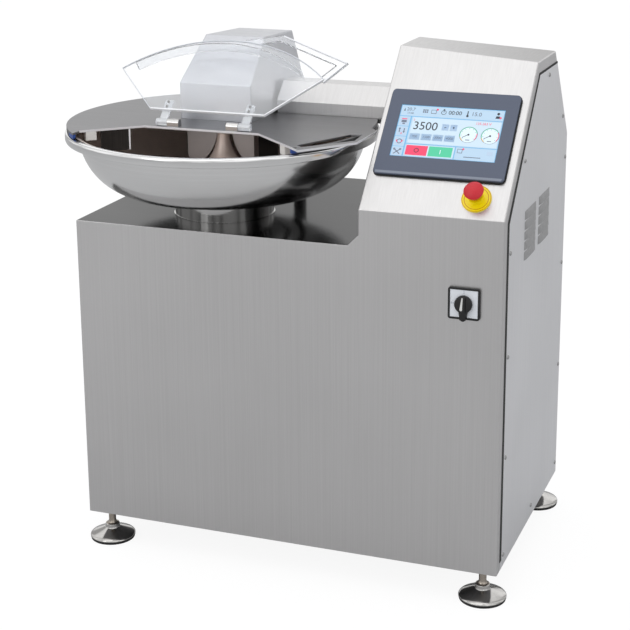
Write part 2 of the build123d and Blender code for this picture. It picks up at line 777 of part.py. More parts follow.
# ---- cable_gland at the back
with BuildPart() as cable_gland:
    gland_z = cabinet_bottom + gland_rise
    with BuildSketch(Plane.XZ.offset(-cabinet_back)):
        with Locations((gland_x, gland_z)):
            RegularPolygon(radius=16, side_count=6)
    extrude(amount=-7)
    with BuildSketch(Plane.XZ.offset(-cabinet_back + 14)):
        with Locations((gland_x, gland_z)):
            Circle(gland_radius)
    extrude(amount=-28)
    with BuildSketch(Plane.XZ.offset(-cabinet_back + 14)):
        with Locations((gland_x, gland_z)):
            Circle(7)
    extrude(amount=-28, mode=Mode.SUBTRACT)
save(cable_gland, "cable_gland")

# ---- touch panel on the slope
with BuildPart() as panel_bezel:
    with BuildSketch(slope_plane):
        with Locations((panel_x, panel_up)):
            RectangleRounded(panel_width, panel_height, 8)
        with Locations((panel_x, screen_up)):
            Rectangle(screen_width, screen_height, mode=Mode.SUBTRACT)
    extrude(amount=panel_thickness)
save(panel_bezel, "panel_bezel")

with BuildPart() as panel_screen:
    with BuildSketch(slope_plane):
        with Locations((panel_x, screen_up)):
            Rectangle(screen_width - 0.4, screen_height - 0.4)
    extrude(amount=panel_thickness - 1)
save(panel_screen, "panel_screen")

with BuildPart() as panel_housing:
    with BuildSketch(slope_plane):
        with Locations((panel_x, panel_up)):
            Rectangle(panel_width - 22, panel_height - 22)
    extrude(amount=-45)
save(panel_housing, "panel_housing")

# ---- emergency stop: yellow ring, fixed body, sliding plunger and the head that twists on it
stop_plane = Plane(slope_plane.from_local_coords((stop_x, stop_up, 0)), x_dir=(1, 0, 0), z_dir=slope_normal)
ring_thickness = 2
stop_collar_top = 13
stop_travel = 4
with BuildPart() as stop_ring:
    with BuildSketch(stop_plane):
        Circle(stop_ring_radius)
        Circle(11.2, mode=Mode.SUBTRACT)
    extrude(amount=ring_thickness)
save(stop_ring, "stop_ring")

with BuildPart() as stop_body:
    with BuildSketch(stop_plane.offset(-45)):
        Rectangle(30, 30)
    extrude(amount=45 - sheet - 1)
    with BuildSketch(stop_plane.offset(-sheet - 1)):
        Circle(11)
    extrude(amount=sheet + 1 + ring_thickness)
    with BuildSketch(stop_plane.offset(ring_thickness)):
        Circle(15)
    extrude(amount=stop_collar_top - ring_thickness)
    with BuildSketch(stop_plane.offset(-20)):
        Circle(5 + running_fit)
    extrude(amount=stop_collar_top + 21, mode=Mode.SUBTRACT)
save(stop_body, "stop_body")

plunger_top = stop_collar_top + stop_travel + 8
with BuildPart() as stop_plunger:
    with BuildSketch(stop_plane.offset(-14)):
        Circle(5)
    extrude(amount=plunger_top + 14)
save(stop_plunger, "stop_plunger")

head_bottom = stop_collar_top + stop_travel + 0.5
head_top = head_bottom + 24
dome_bottom = head_top - 9
dome_radius = (stop_head_radius**2 + 9**2) / 18
dome_middle = (stop_head_radius / 2, head_top - dome_radius + sqrt(dome_radius**2 - stop_head_radius**2 / 4))
with BuildPart() as stop_head:
    with BuildSketch(Plane(stop_plane.origin, x_dir=(1, 0, 0), z_dir=(0, -cos(slope), -sin(slope)))):
        with BuildLine():
            Polyline((0, plunger_top + 0.1), (5 + running_fit, plunger_top + 0.1), (5 + running_fit, head_bottom),
                     (13, head_bottom), (stop_head_radius - 1, head_bottom + 12), (stop_head_radius, dome_bottom))
            ThreePointArc((stop_head_radius, dome_bottom), dome_middle, (0, head_top))
            Line((0, head_top), (0, plunger_top + 0.1))
        make_face()
    revolve(axis=Axis(stop_plane.origin, slope_normal))
save(stop_head, "stop_head")

# ---- main switch on the front
front_plane = Plane(origin=(switch_x, cabinet_front, switch_z), x_dir=(1, 0, 0), z_dir=(0, -1, 0))
frame_depth = 6
plate_inset = 4
with BuildPart() as switch_frame:
    with BuildSketch(front_plane):
        RectangleRounded(switch_size, switch_size, 5)
        Rectangle(switch_size - 2 * plate_inset, switch_size - 2 * plate_inset, mode=Mode.SUBTRACT)
    extrude(amount=frame_depth)
save(switch_frame, "switch_frame")

with BuildPart() as switch_plate:
    with BuildSketch(front_plane):
        Rectangle(switch_size - 2 * plate_inset - 0.2, switch_size - 2 * plate_inset - 0.2)
        Circle(8, mode=Mode.SUBTRACT)
    extrude(amount=frame_depth - 1)
save(switch_plate, "switch_plate")

with BuildPart() as switch_body:
    with BuildSketch(front_plane.offset(-sheet)):
        Rectangle(60, 60)
        Circle(5 + running_fit, mode=Mode.SUBTRACT)
    extrude(amount=-50)
save(switch_body, "switch_body")

knob_radius = 18
knob_height = 14
with BuildPart() as switch_knob:
    with BuildSketch(front_plane.offset(frame_depth + 0.3)):
        Circle(knob_radius)
    extrude(amount=knob_height)
    with BuildSketch(front_plane.offset(frame_depth + 0.3 + 4)):
        with Locations((0, -8)):
            RectangleRounded(14, 56, 5)
    extrude(amount=knob_height + 8)
    with BuildSketch(front_plane.offset(-sheet - 30)):
        Circle(5)
    extrude(amount=sheet + 30 + frame_depth + 1)
save(switch_knob, "switch_knob")

# ---- cover plate: disc with the loading cut-out, the grip strip and the opening for the knives
cut_back_y = bowl_y - cut_depth_offset
cut_left = (bowl_x - cut_half_width, cut_back_y)
cut_right = (bowl_x + cut_half_width, cut_back_y)
tip_left = (bowl_x - 232, bowl_y - 207)
tip_right = (bowl_x + 257, bowl_y - 232)
grip_outline = [
    tip_right, (bowl_x + 265, bowl_y - 242), (bowl_x + 349, bowl_y - 133), (bowl_x + 350, bowl_y - 9),
    (bowl_x + 326, bowl_y + 20), (bowl_x + 200, bowl_y),
]
grip_slot = [
    (bowl_x + 245, bowl_y - 196), (bowl_x + 311, bowl_y - 62), (bowl_x + 334, bowl_y - 54),
    (bowl_x + 339, bowl_y - 118), (bowl_x + 261, bowl_y - 208),
]
hood_front = bowl_y - hood_front_offset
hood_right = hood_x + hood_front_half
plate_back_right = arm_front - 4
lip_height = 10
knife_slot_left = knife_x - nut_length - 8
knife_slot_front = spindle_y - knife_radius - 4
knife_slot_back = spindle_y + knife_radius + 5
tab_half = 72
tab_back = hinge_y - 15
lug_x = hinge_post_spread + hinge_post_width / 2 + 0.5
with BuildPart() as cover_plate:
    with BuildSketch(Plane.XY.offset(plate_bottom)):
        with Locations((bowl_x, bowl_y)):
            Circle(plate_radius)
        with BuildLine():
            Polyline(*grip_outline, close=True)
        make_face()
        with BuildLine():
            Polyline(cut_left, cut_right, tip_right, (tip_right[0], tip_right[1] - 200),
                     (tip_left[0], tip_left[1] - 200), tip_left, close=True)
        make_face(mode=Mode.SUBTRACT)
        with BuildLine():
            Polyline((hood_right, plate_back_right), (hood_right + 400, plate_back_right),
                     (hood_right + 400, plate_back_right + 400), (hood_right, plate_back_right + 400), close=True)
        make_face(mode=Mode.SUBTRACT)
        with BuildLine():
            Polyline(*grip_slot, close=True)
        make_face(mode=Mode.SUBTRACT)
        with Locations((hood_x, (bowl_y + plate_radius - 20 + tab_back) / 2)):
            Rectangle(2 * tab_half, tab_back - bowl_y - plate_radius + 20)
        with BuildLine():
            Polyline((knife_slot_left, knife_slot_front), (hood_right - sheet, knife_slot_front),
                     (hood_right - sheet, knife_slot_back), (knife_slot_left, knife_slot_back), close=True)
        make_face(mode=Mode.SUBTRACT)
    extrude(amount=plate_thickness)
    block(cut_left[0] + 1, cut_right[0] - 1, cut_back_y, cut_back_y + 2, plate_bottom - lip_height, plate_bottom)
    block(hood_right - sheet - 1, hood_right + 1, spindle_y - hood_slot_half, spindle_y + hood_slot_half,
          plate_bottom - 1, plate_top + 1, mode=Mode.SUBTRACT)
    for side in (-1, 1):
        x0 = hood_x + side * (lug_x + 6) - 6
        block(x0, x0 + 12, tab_back - 12, hinge_y, plate_top, hinge_z + 6)
        bar_x(x0, x0 + 12, hinge_y, hinge_z, hinge_eye_radius)
        bar_x(x0 - 1, x0 + 13, hinge_y, hinge_z, hinge_pin_radius + 0.02, mode=Mode.SUBTRACT)
save(cover_plate, "cover_plate")

with BuildPart() as cover_hinge_pin:
    bar_x(hood_x - lug_x - 12, hood_x + lug_x + 12, hinge_y, hinge_z, hinge_pin_radius)
save(cover_hinge_pin, "cover_hinge_pin")

# ---- cover_hinge_posts: two posts on the deck behind the bowl
with BuildPart() as cover_hinge_posts:
    for side in (-1, 1):
        x = hood_x + side * hinge_post_spread
        block(x - hinge_post_width / 2, x + hinge_post_width / 2, hinge_y - hinge_eye_radius,
              hinge_y + hinge_eye_radius, deck_top, hinge_z)
        bar_x(x - hinge_post_width / 2, x + hinge_post_width / 2, hinge_y, hinge_z, hinge_eye_radius)
        bar_x(x - hinge_post_width, x + hinge_post_width, hinge_y, hinge_z, hinge_pin_radius + running_fit,
              mode=Mode.SUBTRACT)
save(cover_hinge_posts, "cover_hinge_posts")

# ---- knife_hood: folded hood with leaning sides
hood_bend_z = plate_top + hood_wall_height
hood_profile = [
    (hood_front, plate_top),
    (hood_front, hood_bend_z),
    (hood_front + hood_slope_depth, plate_top + hood_height),
    (hood_front + hood_roof_depth, plate_top + hood_back_height),
    (hood_front + hood_depth, plate_top),
]


def hood_side(side):
    bend = Vector(hood_x + side * hood_front_half, hood_front, hood_bend_z)
    top = Vector(hood_x + side * hood_top_half, hood_profile[2][0], hood_profile[2][1])
    back = Vector(hood_x + side * hood_back_half, hood_profile[3][0], hood_profile[3][1])
    normal = (top - bend).cross(back - bend) * side
    return Plane(origin=bend, z_dir=normal)


with BuildPart() as knife_hood:
    with BuildSketch(Plane.YZ.offset(hood_x - hood_front_half)):
        with BuildLine():
            Polyline(*hood_profile, close=True)
        make_face()
    extrude(amount=2 * hood_front_half)
    for side in (-1, 1):
        cut = hood_side(side)
        inward = Vector(hood_x, hood_front + 100, plate_top + 50) - cut.origin
        split(bisect_by=cut, keep=Keep.TOP if inward.dot(cut.z_dir) > 0 else Keep.BOTTOM)
    base_face = knife_hood.faces().sort_by(Axis.Z)[0]
    fillet(knife_hood.edges() - base_face.edges(), radius=3)
    offset(amount=-sheet, openings=knife_hood.faces().sort_by(Axis.Z)[0])
    bar_x(hood_right - 20, hood_right + 5, spindle_y, spindle_z, hood_slot_half, mode=Mode.SUBTRACT)
    block(hood_right - 20, hood_right + 5, spindle_y - hood_slot_half, spindle_y + hood_slot_half,
          plate_top - 5, spindle_z, mode=Mode.SUBTRACT)
save(knife_hood, "knife_hood")

# ---- rim_seal: blue strip under the plate, over the rim
seal_top = plate_bottom
seal_bottom = rim_top + 2
seal_outer = plate_radius
with BuildPart() as rim_seal:
    with BuildSketch(Plane.XY.offset(seal_bottom)):
        with Locations((bowl_x, bowl_y)):
            Circle(seal_outer)
            Circle(seal_outer - seal_width, mode=Mode.SUBTRACT)
        with BuildLine():
            Polyline(cut_left, cut_right, tip_right, (tip_right[0], tip_right[1] - 200),
                     (tip_left[0], tip_left[1] - 200), tip_left, close=True)
        make_face(mode=Mode.SUBTRACT)
        with BuildLine():
            Polyline((hood_right, plate_back_right), (hood_right + 400, plate_back_right),
                     (hood_right + 400, plate_back_right + 400), (hood_right, plate_back_right + 400), close=True)
        make_face(mode=Mode.SUBTRACT)
    extrude(amount=seal_top - seal_bottom)
save(rim_seal, "rim_seal")


# Point on one edge of the cut-out, at the given radius from the bowl's axis.
def edge_point(corner, tip, radius):
    length = hypot(tip[0] - corner[0], tip[1] - corner[1])
    step_x = (tip[0] - corner[0]) / length
    step_y = (tip[1] - corner[1]) / length
    start_x = corner[0] - bowl_x
    start_y = corner[1] - bowl_y
    half = start_x * step_x + start_y * step_y
    distance = -half + sqrt(half**2 + radius**2 - start_x**2 - start_y**2)
    return (corner[0] + step_x * distance, corner[1] + step_y * distance)


def strip_under(start, end, thickness, z0, z1, side):
    length = hypot(end[0] - start[0], end[1] - start[1])
    along = Vector(end[0] - start[0], end[1] - start[1], 0) / length
    across = Vector(-along.Y, along.X, 0) * side * thickness
    with BuildSketch(Plane.XY.offset(z0)) as section:
        with BuildLine():
            Polyline(start, end, (end[0] + across.X, end[1] + across.Y),
                     (start[0] + across.X, start[1] + across.Y), close=True)
        make_face()
    extrude(section.sketch, amount=z1 - z0)


# ---- side_baffles and bowl_scrapers under the slanting edges
scraper_bottom = rim_top - 8
with BuildPart() as side_baffles:
    strip_under(edge_point(cut_left, tip_left, 205), edge_point(cut_left, tip_left, 266), 2,
                plate_bottom - 44, plate_bottom, -1)
    strip_under(cut_right, edge_point(cut_right, tip_right, 262), 2, plate_bottom - 51, plate_bottom, 1)
save(side_baffles, "side_baffles")

with BuildPart() as bowl_scrapers:
    strip_under(edge_point(cut_left, tip_left, 275), edge_point(cut_left, tip_left, 297), 14,
                scraper_bottom, plate_bottom, -1)
    strip_under(edge_point(cut_right, tip_right, 275), edge_point(cut_right, tip_right, 297), 14,
                scraper_bottom, plate_bottom, 1)
save(bowl_scrapers, "bowl_scrapers")

# ---- deflector_plate: hangs behind the hub and follows its flare
deflector_y = bowl_y + 7.5
deflector_bottom = plate_bottom - 96
hub_gap = 5
with BuildPart() as deflector_plate:
    with BuildSketch(Plane.XZ.offset(-deflector_y)) as deflector_outline:
        with BuildLine():
            Polyline((bowl_x - 88, deflector_bottom), (bowl_x + 68, deflector_bottom),
                     (bowl_x + 68, plate_bottom), (bowl_x - 88, plate_bottom), close=True)
        make_face()
        fillet(deflector_outline.vertices().group_by(Axis.Z)[0], radius=22)
    extrude(amount=-2.5)
    with BuildSketch(bowl_plane):
        with BuildLine():
            Polyline((hub_gap + hub_tip_radius, plate_bottom - 6), (0, plate_bottom - 6), (0, hub_foot_z + hub_gap),
                     (hub_foot_r + hub_gap, hub_foot_z + hub_gap))
            Bezier(*[(r + hub_gap, z + hub_gap) for r, z in hub_curve[:3]], (hub_gap + hub_tip_radius, plate_bottom - 6))
        make_face()
    revolve(axis=bowl_axis, mode=Mode.SUBTRACT)
save(deflector_plate, "deflector_plate")

# ---- lid_hinge_barrels: steel barrels with their pins, on the plate behind the cut-out
lid_y = bowl_y - lid_hinge_offset
lid_z = plate_top + lid_hinge_rise
barrel_inner = 54
barrel_outer = 80
knuckle_inner = 80.5
knuckle_outer = 106


def sides(inner, outer):
    return [(bowl_x - outer, bowl_x - inner), (bowl_x + inner, bowl_x + outer)]


with BuildPart() as lid_hinge_barrels:
    for x0, x1 in sides(barrel_inner, barrel_outer):
        bar_x(x0, x1, lid_y, lid_z, barrel_radius)
        block(x0, x1, lid_y - barrel_radius, lid_y + barrel_radius, plate_top, lid_z - 2)
    for x0, x1 in sides(barrel_outer, knuckle_outer - 3):
        bar_x(x0, x1, lid_y, lid_z, lid_pin_radius)
save(lid_hinge_barrels, "lid_hinge_barrels")

# ---- splash lid in its open place: local x along the hinge, local y up the panel
lid_tilt = radians(lid_open_angle)
lid_plane = Plane(origin=(bowl_x, lid_y, lid_z), x_dir=(1, 0, 0), z_dir=(0, -sin(lid_tilt), cos(lid_tilt)))
lid_back = 2
arc_centre = lid_corner_reach - sqrt(lid_arc_radius**2 - lid_corner**2)
bow_width = 15
bow_path = [(30, arc_centre + lid_arc_radius - 5), (109, 236), (262, 174), (228, 128)]
strap_half = 9
strap_reach = 55
strap_centre = 93
with BuildPart() as lid_panel:
    with BuildSketch(lid_plane.offset(lid_back)):
        with BuildLine() as bow_line:
            Polyline(*bow_path)
        trace(line_width=bow_width)
        with BuildLine():
            Polyline((lid_corner, lid_corner_reach), (lid_half_width, lid_edge), (-lid_half_width, lid_edge),
                     (-lid_corner, lid_corner_reach))
            ThreePointArc((-lid_corner, lid_corner_reach), (0, arc_centre + lid_arc_radius),
                          (lid_corner, lid_corner_reach))
        make_face()
    extrude(amount=lid_thickness)
save(lid_panel, "lid_panel")

skirt_radius = lid_arc_radius - skirt_inset
skirt_half = 190
skirt_end = arc_centre + sqrt(skirt_radius**2 - skirt_half**2)
skirt_thickness = 3
with BuildPart() as lid_skirt:
    with BuildSketch(lid_plane.offset(lid_back + lid_thickness)):
        with BuildLine():
            ThreePointArc((-skirt_half, skirt_end), (0, arc_centre + skirt_radius), (skirt_half, skirt_end))
            Line((skirt_half, skirt_end), (skirt_half, skirt_end - skirt_thickness))
            ThreePointArc((skirt_half, skirt_end - skirt_thickness),
                          (0, arc_centre + skirt_radius - skirt_thickness),
                          (-skirt_half, skirt_end - skirt_thickness))
            Line((-skirt_half, skirt_end - skirt_thickness), (-skirt_half, skirt_end))
        make_face()
    extrude(amount=skirt_depth)
save(lid_skirt, "lid_skirt")

with BuildPart() as lid_hinge_straps:
    for x0, x1 in sides(knuckle_inner, knuckle_outer):
        bar_x(x0, x1, lid_y, lid_z, barrel_radius - 0.6)
    for side in (-1, 1):
        with BuildSketch(lid_plane.offset(lid_back)):
            with Locations((side * strap_centre, strap_reach / 2)):
                Rectangle(2 * strap_half, strap_reach)
        extrude(amount=-3.5)
    for x0, x1 in sides(knuckle_inner - 1, knuckle_outer + 1):
        bar_x(x0, x1, lid_y, lid_z, lid_pin_radius + running_fit, mode=Mode.SUBTRACT)
save(lid_hinge_straps, "lid_hinge_straps")
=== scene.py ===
import bpy
import bmesh
import json
from math import atan2, cos, hypot, pi, radians, sin, sqrt, tan
from mathutils import Matrix, Vector


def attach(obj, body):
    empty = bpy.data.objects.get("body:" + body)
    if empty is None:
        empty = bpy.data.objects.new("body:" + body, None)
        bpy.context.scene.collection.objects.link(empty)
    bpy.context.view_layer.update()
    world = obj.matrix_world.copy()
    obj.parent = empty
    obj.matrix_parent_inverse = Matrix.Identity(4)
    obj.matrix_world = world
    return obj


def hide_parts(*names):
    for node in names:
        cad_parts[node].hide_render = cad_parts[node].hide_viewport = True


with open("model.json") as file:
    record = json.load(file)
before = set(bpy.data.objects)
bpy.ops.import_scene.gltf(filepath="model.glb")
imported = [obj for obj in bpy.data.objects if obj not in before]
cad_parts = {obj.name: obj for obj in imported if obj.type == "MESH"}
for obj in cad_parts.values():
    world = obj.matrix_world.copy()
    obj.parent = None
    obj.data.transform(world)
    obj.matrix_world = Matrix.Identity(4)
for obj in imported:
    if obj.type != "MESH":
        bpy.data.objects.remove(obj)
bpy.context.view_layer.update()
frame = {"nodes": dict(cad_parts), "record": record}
nodes = frame["nodes"]
print("frame loaded:", len(nodes), "nodes")

scene = bpy.context.scene
scene.view_settings.view_transform = "Standard"

# Where the view stands, and the flat shift that keeps the uprights nearly parallel
viewFrom = {"place": (1.17979, -3.04141, 1.57805), "turn": 20.232, "dip": 14.841, "roll": -0.283,
            "lens": 89.5545, "sensor": 36, "farClip": 60, "shiftX": -0.02381, "shiftY": -0.142857}


def addObject(name, data):
    thing = bpy.data.objects.new(name, data)
    scene.collection.objects.link(thing)
    return thing


def addCamera(p):
    data = bpy.data.cameras.new("view")
    data.lens = p["lens"]
    data.sensor_width = p["sensor"]
    data.shift_x = p["shiftX"]
    data.shift_y = p["shiftY"]
    data.clip_end = p["farClip"]
    cam = addObject("view", data)
    cam.location = p["place"]
    turn, dip = radians(p["turn"]), radians(p["dip"])
    ahead = Vector((-sin(turn) * cos(dip), cos(turn) * cos(dip), -sin(dip)))
    look = ahead.to_track_quat("-Z", "Y").to_matrix()
    cam.rotation_euler = (look @ Matrix.Rotation(radians(p["roll"]), 3, "Z")).to_euler()
    scene.camera = cam


addCamera(viewFrom)


# Small helpers for shader trees
def newTree(name):
    mat = bpy.data.materials.new(name)
    mat.use_nodes = True
    tree = mat.node_tree
    shader = tree.nodes["Principled BSDF"]
    return mat, tree, shader


def addNode(tree, kind, **settings):
    node = tree.nodes.new(kind)
    for key, value in settings.items():
        setattr(node, key, value)
    return node


def link(tree, source, target):
    tree.links.new(source, target)


# A number, vector or colour is set on the socket, and another node's output is linked to it.
def feed(tree, value, socket):
    if isinstance(value, bpy.types.NodeSocket):
        link(tree, value, socket)
    elif socket.type == "RGBA":
        socket.default_value = (*value, 1)
    else:
        socket.default_value = value


def feedAll(tree, node, values):
    for key, value in values.items():
        feed(tree, value, node.inputs[key])
    return node


def mapRange(tree, source, low, high, fromLow=0.0, fromHigh=1.0):
    node = feedAll(tree, addNode(tree, "ShaderNodeMapRange"), {
        "Value": source, "From Min": fromLow, "From Max": fromHigh, "To Min": low, "To Max": high})
    return node.outputs["Result"]


def mixColor(tree, factor, first, second):
    node = addNode(tree, "ShaderNodeMix", data_type="RGBA")
    for value, socket in ((factor, node.inputs["Factor"]), (first, node.inputs[6]), (second, node.inputs[7])):
        feed(tree, value, socket)
    return node.outputs[2]


def calc(tree, operation, first, second):
    node = addNode(tree, "ShaderNodeMath", operation=operation)
    feed(tree, first, node.inputs[0])
    feed(tree, second, node.inputs[1])
    return node.outputs[0]


def noise(tree, vector, scale, detail, rough=0.5):
    node = feedAll(tree, addNode(tree, "ShaderNodeTexNoise"),
                   {"Vector": vector, "Scale": scale, "Detail": detail, "Roughness": rough})
    return node.outputs["Fac"]


def relief(tree, height, strength, distance):
    return feedAll(tree, addNode(tree, "ShaderNodeBump"),
                   {"Height": height, "Strength": strength, "Distance": distance})


def split(tree, vector):
    return feedAll(tree, addNode(tree, "ShaderNodeSeparateXYZ"), {"Vector": vector}).outputs


# True for what the lens meets at first hand or through the clear lid.
def seenByLens(tree, path):
    return calc(tree, "MAXIMUM", path.outputs["Is Camera Ray"], path.outputs["Is Transmission Ray"])


def blendShaders(tree, factor, first, second):
    blend = addNode(tree, "ShaderNodeMixShader")
    for source, socket in zip((factor, first, second), blend.inputs):
        link(tree, source, socket)
    link(tree, blend.outputs[0], tree.nodes["Material Output"].inputs["Surface"])


def newGroup(name, inputs, outputs):
    group = bpy.data.node_groups.new(name, "ShaderNodeTree")
    for title, kind, value in inputs:
        socket = group.interface.new_socket(name=title, in_out="INPUT", socket_type=kind)
        socket.default_value = value
    for title, kind in outputs:
        group.interface.new_socket(name=title, in_out="OUTPUT", socket_type=kind)
    return group, addNode(group, "NodeGroupInput"), addNode(group, "NodeGroupOutput")


# What both steel grains put out: streaks, a broad drift of tone and the normal.
grainOutputs = [("Streaks", "NodeSocketFloat"), ("Drift", "NodeSocketFloat"), ("Normal", "NodeSocketVector")]


def leaveGrain(group, leave, fine, drift, bump):
    feedAll(group, leave, {"Streaks": mapRange(group, fine, 0, 1, 0.3, 0.7),
                           "Drift": mapRange(group, drift, 0, 1, 0.35, 0.65), "Normal": bump.outputs["Normal"]})
    return group


# Brushed grain: fine streaks from stretched noise, over softly rounded folds.
def brushedGroup():
    group, enter, leave = newGroup(
        "brushed", [("Stretch", "NodeSocketVector", (900, 8, 8)), ("Depth", "NodeSocketFloat", 0.2)],
        grainOutputs)
    place = addNode(group, "ShaderNodeTexCoord").outputs["Object"]
    scale = addNode(group, "ShaderNodeVectorMath", operation="MULTIPLY")
    link(group, place, scale.inputs[0])
    link(group, enter.outputs["Stretch"], scale.inputs[1])
    fine = noise(group, scale.outputs[0], 1, 5, 0.68)
    fold = feedAll(group, addNode(group, "ShaderNodeBevel", samples=4), {"Radius": 0.0016})
    bump = relief(group, fine, enter.outputs["Depth"], 0.0004)
    link(group, fold.outputs["Normal"], bump.inputs["Normal"])
    return leaveGrain(group, leave, fine, noise(group, place, 2.2, 2), bump)


# Turned grain: rings about an upright axis, measured by radius and height.
def turnedGroup():
    group, enter, leave = newGroup(
        "turned", [("Centre", "NodeSocketVector", (0, 0, 0)), ("Pitch", "NodeSocketFloat", 900.0),
                   ("Depth", "NodeSocketFloat", 0.1)], grainOutputs)
    place = addNode(group, "ShaderNodeTexCoord").outputs["Object"]
    shift = addNode(group, "ShaderNodeVectorMath", operation="SUBTRACT")
    link(group, place, shift.inputs[0])
    link(group, enter.outputs["Centre"], shift.inputs[1])
    parts = split(group, shift.outputs[0])
    flat = feedAll(group, addNode(group, "ShaderNodeCombineXYZ"), {"X": parts["X"], "Y": parts["Y"]})
    radius = addNode(group, "ShaderNodeVectorMath", operation="LENGTH")
    link(group, flat.outputs[0], radius.inputs[0])
    pitch = enter.outputs["Pitch"]
    rings = feedAll(group, addNode(group, "ShaderNodeCombineXYZ"), {
        "X": calc(group, "MULTIPLY", radius.outputs["Value"], pitch),
        "Y": calc(group, "MULTIPLY", parts["Z"], pitch)})
    fine = noise(group, rings.outputs[0], 1, 4)
    bump = relief(group, fine, enter.outputs["Depth"], 0.0003)
    return leaveGrain(group, leave, fine, noise(group, place, 5, 2), bump)


# Fine mottle for mouldings, rubber and paint.
def mottleGroup():
    group, enter, leave = newGroup(
        "mottle", [("Size", "NodeSocketFloat", 600.0), ("Depth", "NodeSocketFloat", 0.1)],
        [("Mask", "NodeSocketFloat"), ("Normal", "NodeSocketVector")])
    place = addNode(group, "ShaderNodeTexCoord").outputs["Object"]
    grain = noise(group, place, enter.outputs["Size"], 3)
    bump = relief(group, grain, enter.outputs["Depth"], 0.0002)
    feedAll(group, leave, {"Mask": mapRange(group, grain, 0, 1, 0.3, 0.7), "Normal": bump.outputs["Normal"]})
    return group


brushed, turned, mottle = brushedGroup(), turnedGroup(), mottleGroup()
bowlCentre = (-0.1715, -0.0325, 0.0)


def useGroup(tree, group, **values):
    return feedAll(tree, addNode(tree, "ShaderNodeGroup", node_tree=group), values)


# Brushed where a stretch is given, and turned about the bowl's axis where none is.
def steel(name, dark, light, rough, stretch=None, depth=0.2, roughSpan=0.1):
    mat, tree, shader = newTree(name)
    if stretch:
        grain = useGroup(tree, brushed, Stretch=stretch, Depth=depth)
    else:
        grain = useGroup(tree, turned, Centre=bowlCentre, Pitch=900.0, Depth=depth)
    streaks = grain.outputs["Streaks"]
    shade = addNode(tree, "ShaderNodeVectorMath", operation="SCALE")
    link(tree, mixColor(tree, streaks, dark, light), shade.inputs[0])
    link(tree, mapRange(tree, grain.outputs["Drift"], 0.97, 1.03), shade.inputs["Scale"])
    feedAll(tree, shader, {"Metallic": 1, "Base Color": shade.outputs[0], "Normal": grain.outputs["Normal"],
                           "Roughness": mapRange(tree, streaks, rough + roughSpan, rough)})
    return mat


def moulding(name, dark, light, rough, size=600.0, depth=0.1, coat=0.0):
    mat, tree, shader = newTree(name)
    grain = useGroup(tree, mottle, Size=size, Depth=depth)
    mask = grain.outputs["Mask"]
    feedAll(tree, shader, {"Base Color": mixColor(tree, mask, dark, light), "Normal": grain.outputs["Normal"],
                           "Roughness": mapRange(tree, mask, rough, rough + 0.06), "Coat Weight": coat})
    return mat


# Clear plastic that lets light through to what it shades.
def clearSheet(name, tint, rough, haze):
    mat, tree, shader = newTree(name)
    mask = useGroup(tree, mottle, Size=40.0, Depth=0.02).outputs["Mask"]
    pale = tuple(min(1, c + 0.01) for c in tint)
    feedAll(tree, shader, {"Base Color": mixColor(tree, mask, tint, pale), "Transmission Weight": haze,
                           "Roughness": mapRange(tree, mask, rough, rough + 0.01), "IOR": 1.3})
    through = feedAll(tree, addNode(tree, "ShaderNodeBsdfTransparent"), {"Color": (0.95, 0.96, 0.98)})
    path = addNode(tree, "ShaderNodeLightPath")
    blendShaders(tree, path.outputs["Is Shadow Ray"], shader.outputs[0], through.outputs[0])
    return mat


upright = (430, 30, 2.5)
sideways = (30, 430, 2.5)
# Dark and light of the grain, roughness, grain stretch, depth and span of the roughness
steels = {
    "frame_steel": ((0.30, 0.30, 0.31), (0.42, 0.42, 0.43), 0.4, (60, 60, 60), 0.15),
    "brushed_sheet": ((0.592, 0.585, 0.584), (0.638, 0.631, 0.630), 0.3, upright, 0.015),
    "deck_sheet": ((0.15, 0.15, 0.15), (0.19, 0.19, 0.19), 0.09, (5, 900, 5), 0.03, 0.05),
    "side_sheet": ((0.80, 0.803, 0.82), (0.85, 0.853, 0.87), 0.34, sideways, 0.04),
    "cover_sheet": ((0.27, 0.268, 0.275), (0.32, 0.318, 0.325), 0.34, (5, 900, 5), 0.04, 0.06),
    "hood_sheet": ((0.53, 0.54, 0.57), (0.58, 0.59, 0.62), 0.28, (40, 40, 5), 0.0),
    "bowl_steel": ((0.72, 0.72, 0.72), (0.80, 0.80, 0.80), 0.14, None, 0.03, 0.06),
    "polished_steel": ((0.55, 0.545, 0.535), (0.6, 0.595, 0.585), 0.12, None, 0.02, 0.05),
    "foot_steel": ((0.5, 0.49, 0.475), (0.56, 0.55, 0.535), 0.1, (200, 200, 200), 0.02, 0.05),
    "shaft_steel": ((0.45, 0.45, 0.45), (0.54, 0.54, 0.54), 0.22, (900, 40, 40), 0.1),
    "blade_steel": ((0.55, 0.55, 0.56), (0.64, 0.64, 0.65), 0.14, (40, 500, 500), 0.05),
    "bearing_steel": ((0.45, 0.45, 0.45), (0.5, 0.5, 0.5), 0.2, (200, 200, 200), 0.05),
    "screw_steel": ((0.36, 0.36, 0.36), (0.46, 0.46, 0.46), 0.25, (300, 300, 300), 0.05),
}
